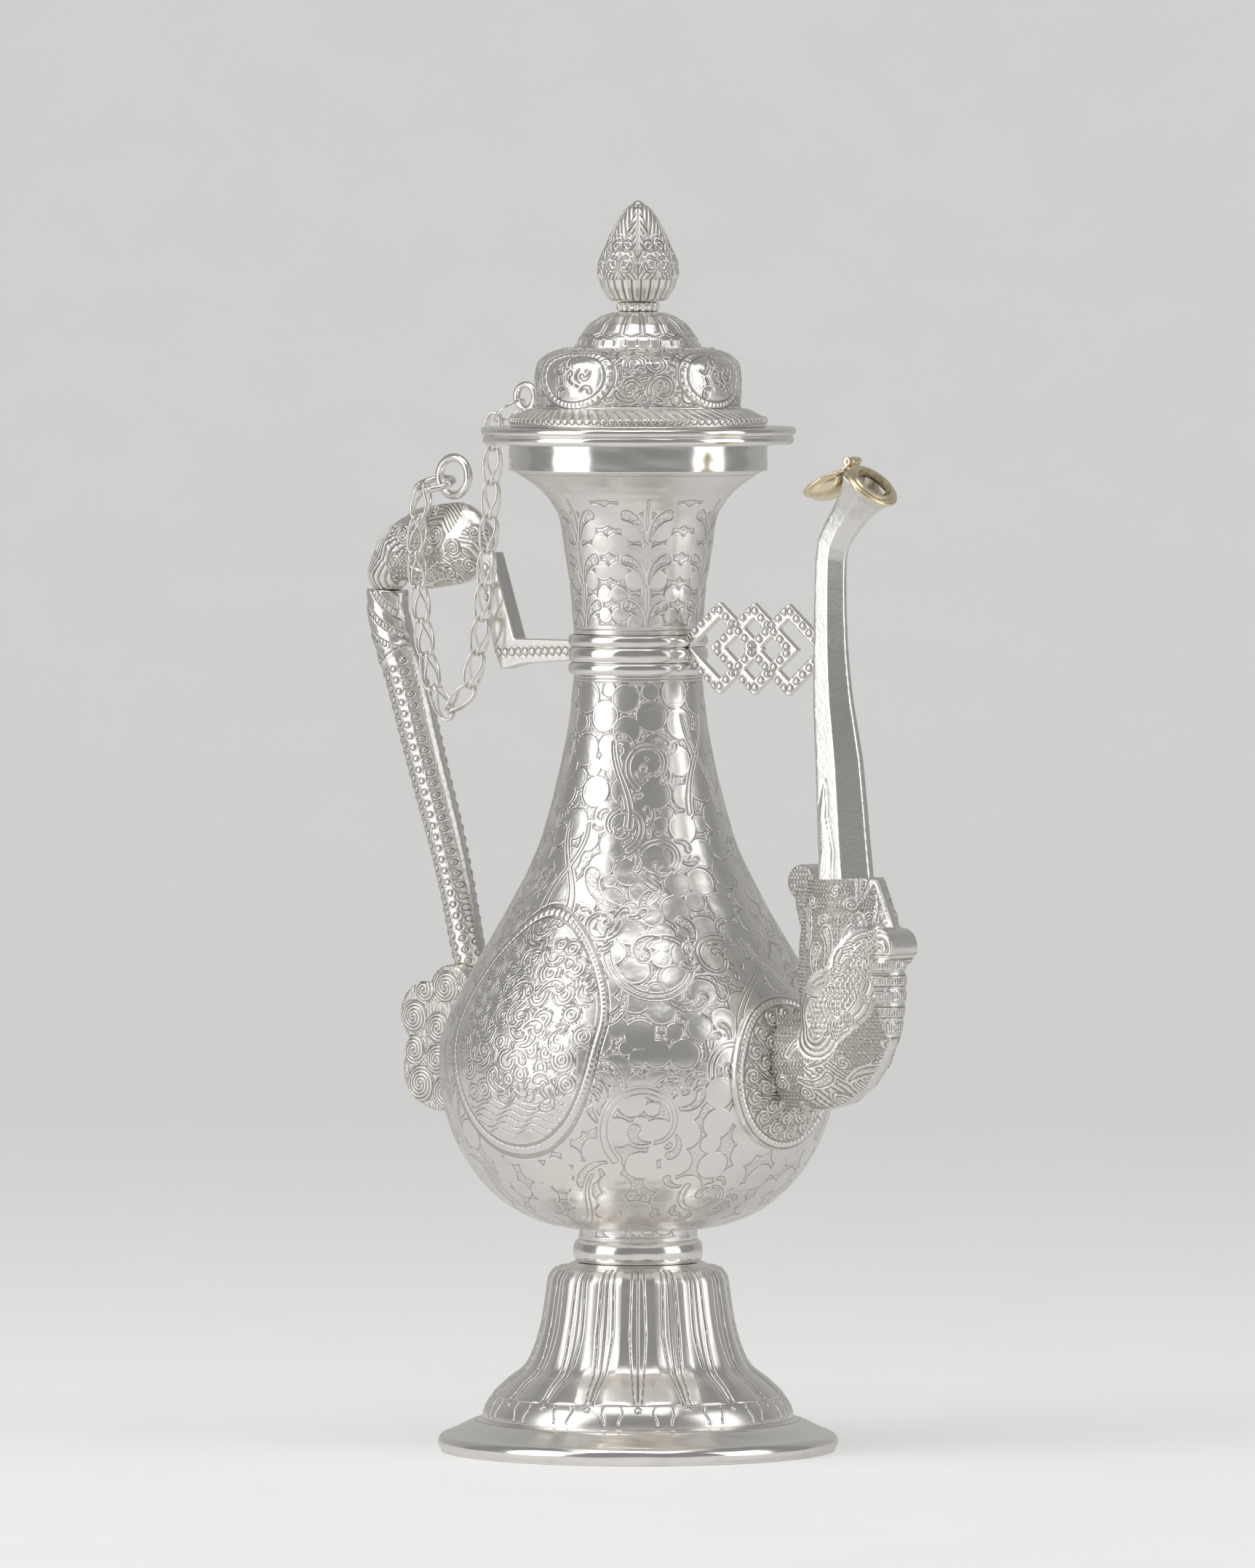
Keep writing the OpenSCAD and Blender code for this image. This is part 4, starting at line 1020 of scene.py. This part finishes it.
ELBOW_CURLS = (
    (95, 116.5, 3.4, 1), (89, 107.5, 3.0, -1), (81, 107.4, 2.6, 1), (72, 109, 2.4, -1), (98, 124, 2.5, -1),
    (64, 112, 2.6, 1), (68, 104.6, 1.8, 1), (76, 112.6, 2.1, -1), (85.5, 118.5, 2.2, 1), (88, 165, 2.3, -1),
    (83, 168.5, 2.0, 1), (79, 160, 2.4, 1), (74, 165, 2.2, -1), (93, 161, 1.9, 1),
)
ELBOW_LEAVES = (
    (66, 120, 60, 12, 3.4, -0.5), (74, 117, 20, 14, 3.6, 0.6), (86, 113, 40, 12, 3.2, -0.6),
    (92, 107, 30, 8, 2.4, 0.5), (70, 113, -20, 11, 3.0, 0.5), (90, 166, 85, 9, 3.0, 0.2),
    (95, 158, 80, 9, 2.8, 0.2), (72, 152, 80, 11, 2.6, 0.3), (80, 147, 70, 10, 3.0, 0.4),
    (86, 150, 85, 9, 2.8, -0.4), (76, 143, 110, 9, 2.6, -0.4), (91, 153, 75, 8, 2.4, 0.4),
)
KNOT_X, KNOT_Z = (30.9, 44.3, 57.8), 238.3
MEDALLION_Z = 114


def spout():
    disc = Carved("spout_medallion", 0.36, 5, across=(1, 2), faces=0)
    away = np.hypot(disc.x, disc.y - MEDALLION_Z)
    turn = np.arctan2(disc.y - MEDALLION_Z, disc.x)
    bead = np.hypot(away - 21.2, (np.mod(turn, 2 * np.pi / 76) - np.pi / 76) * 21.2)
    disc.rise += 0.4 * rounded(bead / 0.85)
    disc.line = np.minimum(abs(away - 22.3), abs(away - 20.1))
    for ring, count, radius in ((17.2, 16, 2.5), (13.2, 12, 2.2), (9.8, 10, 1.8)):
        for k in range(count):
            a = 2 * np.pi * (k + 0.5 * (ring < 15)) / count
            b = a + 0.18
            disc.hatch(ring * math.cos(b), MEDALLION_Z + ring * math.sin(b), 2.4, a + 1.2, 0.9, 0.12)
            turn_by = 1 if k % 2 else -1
            disc.curl(ring * math.cos(a), MEDALLION_Z + ring * math.sin(a), radius * 1.12, turn_by, 1.0, 1.15)
    disc.facing = np.maximum(disc.facing, (away < 23.3) * (disc.co[:, 0] > 53) * 0.6)
    disc.finish(["spout_medallion"], CHASED)

    elbow = Carved("spout_elbow", 0.4, 16)
    elbow.dots(80, 140, 40, 1.25, 0.45, 0.2)
    elbow.hatch(86, 112, 14, 0.5, 1.15, 0.13, lambda u, v: abs(np.sin(u * 0.5) * 2 + v) < 7, 0.45)
    elbow.curls(ELBOW_CURLS, 0.6, 1.05)
    for x, z, *leaf in ELBOW_LEAVES:
        comma(elbow, x, z, 0, 0, *leaf)
    fringe_lobe(elbow)
    column = (elbow.x > 95.5 - 0.12 * (elbow.y - 140)) & (elbow.y > 125) & (elbow.y < 151)
    notch = abs(np.mod(elbow.y, 4.6) - 2.3)
    elbow.rise += np.where(column, 0.5 * np.clip(notch / 1.2, 0, 1) - 0.3, 0)
    ticks = abs(np.mod(elbow.x * 0.8 + elbow.co[:, 1], 1.0) - 0.5)
    elbow.line = np.where(column, np.minimum(abs(notch - 0.7), np.where(notch > 1.3, ticks, FAR)), elbow.line)
    elbow.facing = np.maximum(elbow.facing, column * 0.6)
    elbow.finish(["spout_elbow"], CHASED)

    tube = Carved("spout_tube", 0.4, 3)
    t = np.clip((tube.y - 166) / 34, 0, 1)
    middle = np.interp(tube.y, [161, 170, 180, 190, 200], [77.5, 76.0, 77.2, 75.6, 76.3])
    wide = 3.6 * (1 - t) ** 0.6 * (tube.y < 200)
    away = abs(tube.x - middle) - wide
    ribs = abs(np.mod(tube.x - middle, 0.95) - 0.475)
    flame = (away < 0) & (tube.y < 200)
    tube.line = np.where(flame, np.minimum(ribs, -away), np.where(abs(away) < 2, abs(away), FAR))
    tube.line = np.where(tube.y > 201, FAR, tube.line)
    tube.rise += np.where(flame, 0.45 * np.sqrt(np.clip(-away / 1.5, 0, 1)) + 0.08 * ribs, 0)
    tube.finish(["spout_tube"], FILED)

    mouth = next(m for m in frame["record"]["mounts"] if m["name"] == "spout_mouth")
    turn = next(j for j in frame["record"]["behaviour"]["joints"] if j["name"] == "spout_cap_turn")
    at, axis, hinge = Vector(mouth["pos_m"]) / MM, Vector(mouth["axis"]), Vector(turn["pos_m"]) / MM
    back = Matrix.Rotation(-math.radians(turn["range_deg"][1]), 3, turn["axis"])
    plain("spout_rim", GILT, 0.12, beads_at=(at - axis, axis))
    plain("spout_cap", GILT, 0.12, beads_at=(hinge + back @ (at + axis * 1.2 - hinge), back @ axis))
    plain("spout_cap_pin", WIRE)

    knot = Carved("knot_brace", 0.26, 3)
    for x in KNOT_X:
        for end_x, end_z in ((-1, 1), (1, 1), (1, -1), (-1, -1)):
            studs(knot, (x, KNOT_Z + 12.3 * end_z), (x + 14.3 * end_x, KNOT_Z), 6, 1.0)
    knot.finish(["knot_brace"], CAST_CUT)


def fringe_lobe(skin):
    """The elbow's pearled lobe: an S-shaped field of pearls in a rope border with a hatched fringe."""
    spine = np.array([(76.5, 127.5), (77.5, 132), (81, 135), (86, 138), (89, 142), (90, 147), (93, 151),
                      (97, 152)])
    wide = np.array([3.2, 5.4, 5.6, 4.6, 3.6, 2.8, 2.4, 1.8])
    best = np.full(len(skin.x), FAR * 3)
    along = np.zeros(len(skin.x))
    run = np.r_[0, np.cumsum(np.linalg.norm(np.diff(spine, axis=0), axis=1))]
    for i, t, away in stretches(spine, skin.x, skin.y):
        away = away - (wide[i] + (wide[i + 1] - wide[i]) * t)
        nearer = away < best
        best = np.where(nearer, away, best)
        along = np.where(nearer, run[i] + t * (run[i + 1] - run[i]), along)
    near = best < 5.2
    side = skin.facing > 0.2
    skin.rise = np.where(near & side, 0.25 * np.clip(-best / 2 + 1, 0, 1), skin.rise)
    skin.line = np.where(near & side, FAR, skin.line)
    skin.grain = np.where(near & side, -FAR, skin.grain)
    row = np.round(skin.y / 1.5)
    u = np.mod(skin.x + row * 0.85, 1.7) - 0.85
    pearl = np.hypot(u, skin.y - row * 1.5)
    inside = (best < -0.9) & side
    skin.rise += np.where(inside, 0.42 * rounded(pearl / 0.72), 0)
    skin.line = np.where(inside, abs(pearl - 0.72) + 0.08, skin.line)
    rope = (abs(best) < 0.9) & side
    twist = abs(np.mod(along * 0.9 + best, 1.3) - 0.65)
    skin.rise += np.where(rope, 0.55 * rounded(best / 0.9) * (0.75 + 0.4 * twist), 0)
    skin.line = np.where(rope, twist, skin.line)
    hem = 4.8 - 0.8 * abs(np.sin(along * 0.62))
    fringe = (best > 0.9) & (best < hem) & side
    comb = abs(np.mod(along * 1.15 + 0.5 * best, 0.9) - 0.45)
    skin.rise += np.where(fringe, 0.3 * np.clip((4.8 - best) / 2, 0, 1), 0)
    skin.line = np.where(fringe, np.minimum(comb, abs(best - hem)), skin.line)


# ---------- making everything ----------

body()
neck()
foot()
lid()
handle()
spout()
round_wire("lid_eye", WIRE)
round_wire("jump_ring", WIRE)
for k in range(1, 17):
    round_wire(f"chain_link_{k}", WIRE)
round_wire("chain_end_ring", WIRE)
plain("finial_stem", GILT, 0.2)
plain("finial_washer", GILT, 0.2)


# ---------- floor, light and camera ----------

PAPER = (0.9, 0.895, 0.885)
PAPER_GLOW = 0.34  # what camera rays see beyond the light on the paper


def paper():
    material = bpy.data.materials.new("paper")
    n = Nodes(material)
    spots = n.noise(n.place(), 0.02, 2.0)
    shaded = (*[c * 0.98 for c in PAPER], 1)
    n.put(n.mix(n.step(spots, 0.3, 0.7), (*PAPER, 1), shaded), n.shader.inputs["Base Color"])
    n.shader.inputs["Roughness"].default_value = 0.8
    path = n.tree.nodes.new("ShaderNodeLightPath").outputs
    seen = n.math("MAXIMUM", path["Is Camera Ray"], n.math("MULTIPLY", path["Is Glossy Ray"], 0.35))
    n.put((*PAPER, 1), n.shader.inputs["Emission Color"])
    n.put(n.math("MULTIPLY", seen, PAPER_GLOW), n.shader.inputs["Emission Strength"])
    clear = n.tree.nodes.new("ShaderNodeBsdfTransparent")
    one_sided = n.tree.nodes.new("ShaderNodeMixShader")
    n.put(n.make("ShaderNodeNewGeometry", out=6), one_sided.inputs[0])
    n.tree.links.new(n.shader.outputs[0], one_sided.inputs[1])
    n.tree.links.new(clear.outputs[0], one_sided.inputs[2])
    n.tree.links.new(one_sided.outputs[0], n.tree.nodes["Material Output"].inputs["Surface"])
    return material


def backdrop():
    """A floor that curves up behind the ewer, and can be seen through from behind."""
    way = Vector(CAMERA_AT) - Vector(CAMERA_AIM)
    back = -Vector((way.x, way.y, 0)).normalized()
    side = Vector((-back.y, back.x, 0))
    rows = [(-6.0, 0.0), (1.6, 0.0)]
    rows += [(1.6 + 1.2 * math.sin(a), 1.2 - 1.2 * math.cos(a)) for a in np.linspace(0.1, math.pi / 2, 14)]
    rows += [(2.8, 4.0)]
    co = np.array([back * d + side * w + Vector((0, 0, h)) for d, h in rows for w in (-5.0, 5.0)]) / MM
    i = np.arange(len(rows) - 1)[:, None] * 2
    mesh = bpy.data.meshes.new("backdrop")
    fill_mesh(mesh, co, np.hstack([i, i + 2, i + 3, i + 1]))
    mesh.materials.append(paper())
    linked("backdrop", mesh)


def softbox(name, azimuth, height, distance, size, power):
    """An area light aimed at the ewer's middle. The azimuth counts from the camera, below 0 to its left."""
    way = Vector(CAMERA_AT) - Vector(CAMERA_AIM)
    a = math.atan2(way.y, way.x) + math.radians(azimuth)
    at = Vector((distance * math.cos(a), distance * math.sin(a), height))
    light = bpy.data.lights.new(name, "AREA")
    light.shape = "RECTANGLE"
    light.size, light.size_y = size
    light.energy = power
    made = linked(name, light)
    made.location = at
    made.rotation_euler = (Vector((0, 0, 0.19)) - at).to_track_quat("-Z", "Y").to_euler()


def world():
    made = bpy.data.worlds.new("studio")
    bpy.context.scene.world = made
    made.use_nodes = True
    made.node_tree.nodes["Background"].inputs["Color"].default_value = (0.5, 0.5, 0.5, 1)
    made.node_tree.nodes["Background"].inputs["Strength"].default_value = 0.5


def camera():
    lens = bpy.data.cameras.new("camera")
    lens.lens = CAMERA_LENS
    lens.sensor_width = 36
    lens.sensor_fit = "AUTO"
    made = linked("camera", lens)
    made.location = CAMERA_AT
    made.rotation_euler = (Vector(CAMERA_AIM) - Vector(CAMERA_AT)).to_track_quat("-Z", "Y").to_euler()
    bpy.context.scene.camera = made


backdrop()
softbox("left_box", -62, 0.75, 1.5, (1.1, 1.7), 8.5)
softbox("right_box", 66, 0.6, 1.5, (0.9, 1.6), 5.5)
softbox("top_box", -10, 1.75, 0.5, (1.4, 1.0), 6)
world()
camera()
bpy.context.scene.view_settings.view_transform = "Standard"
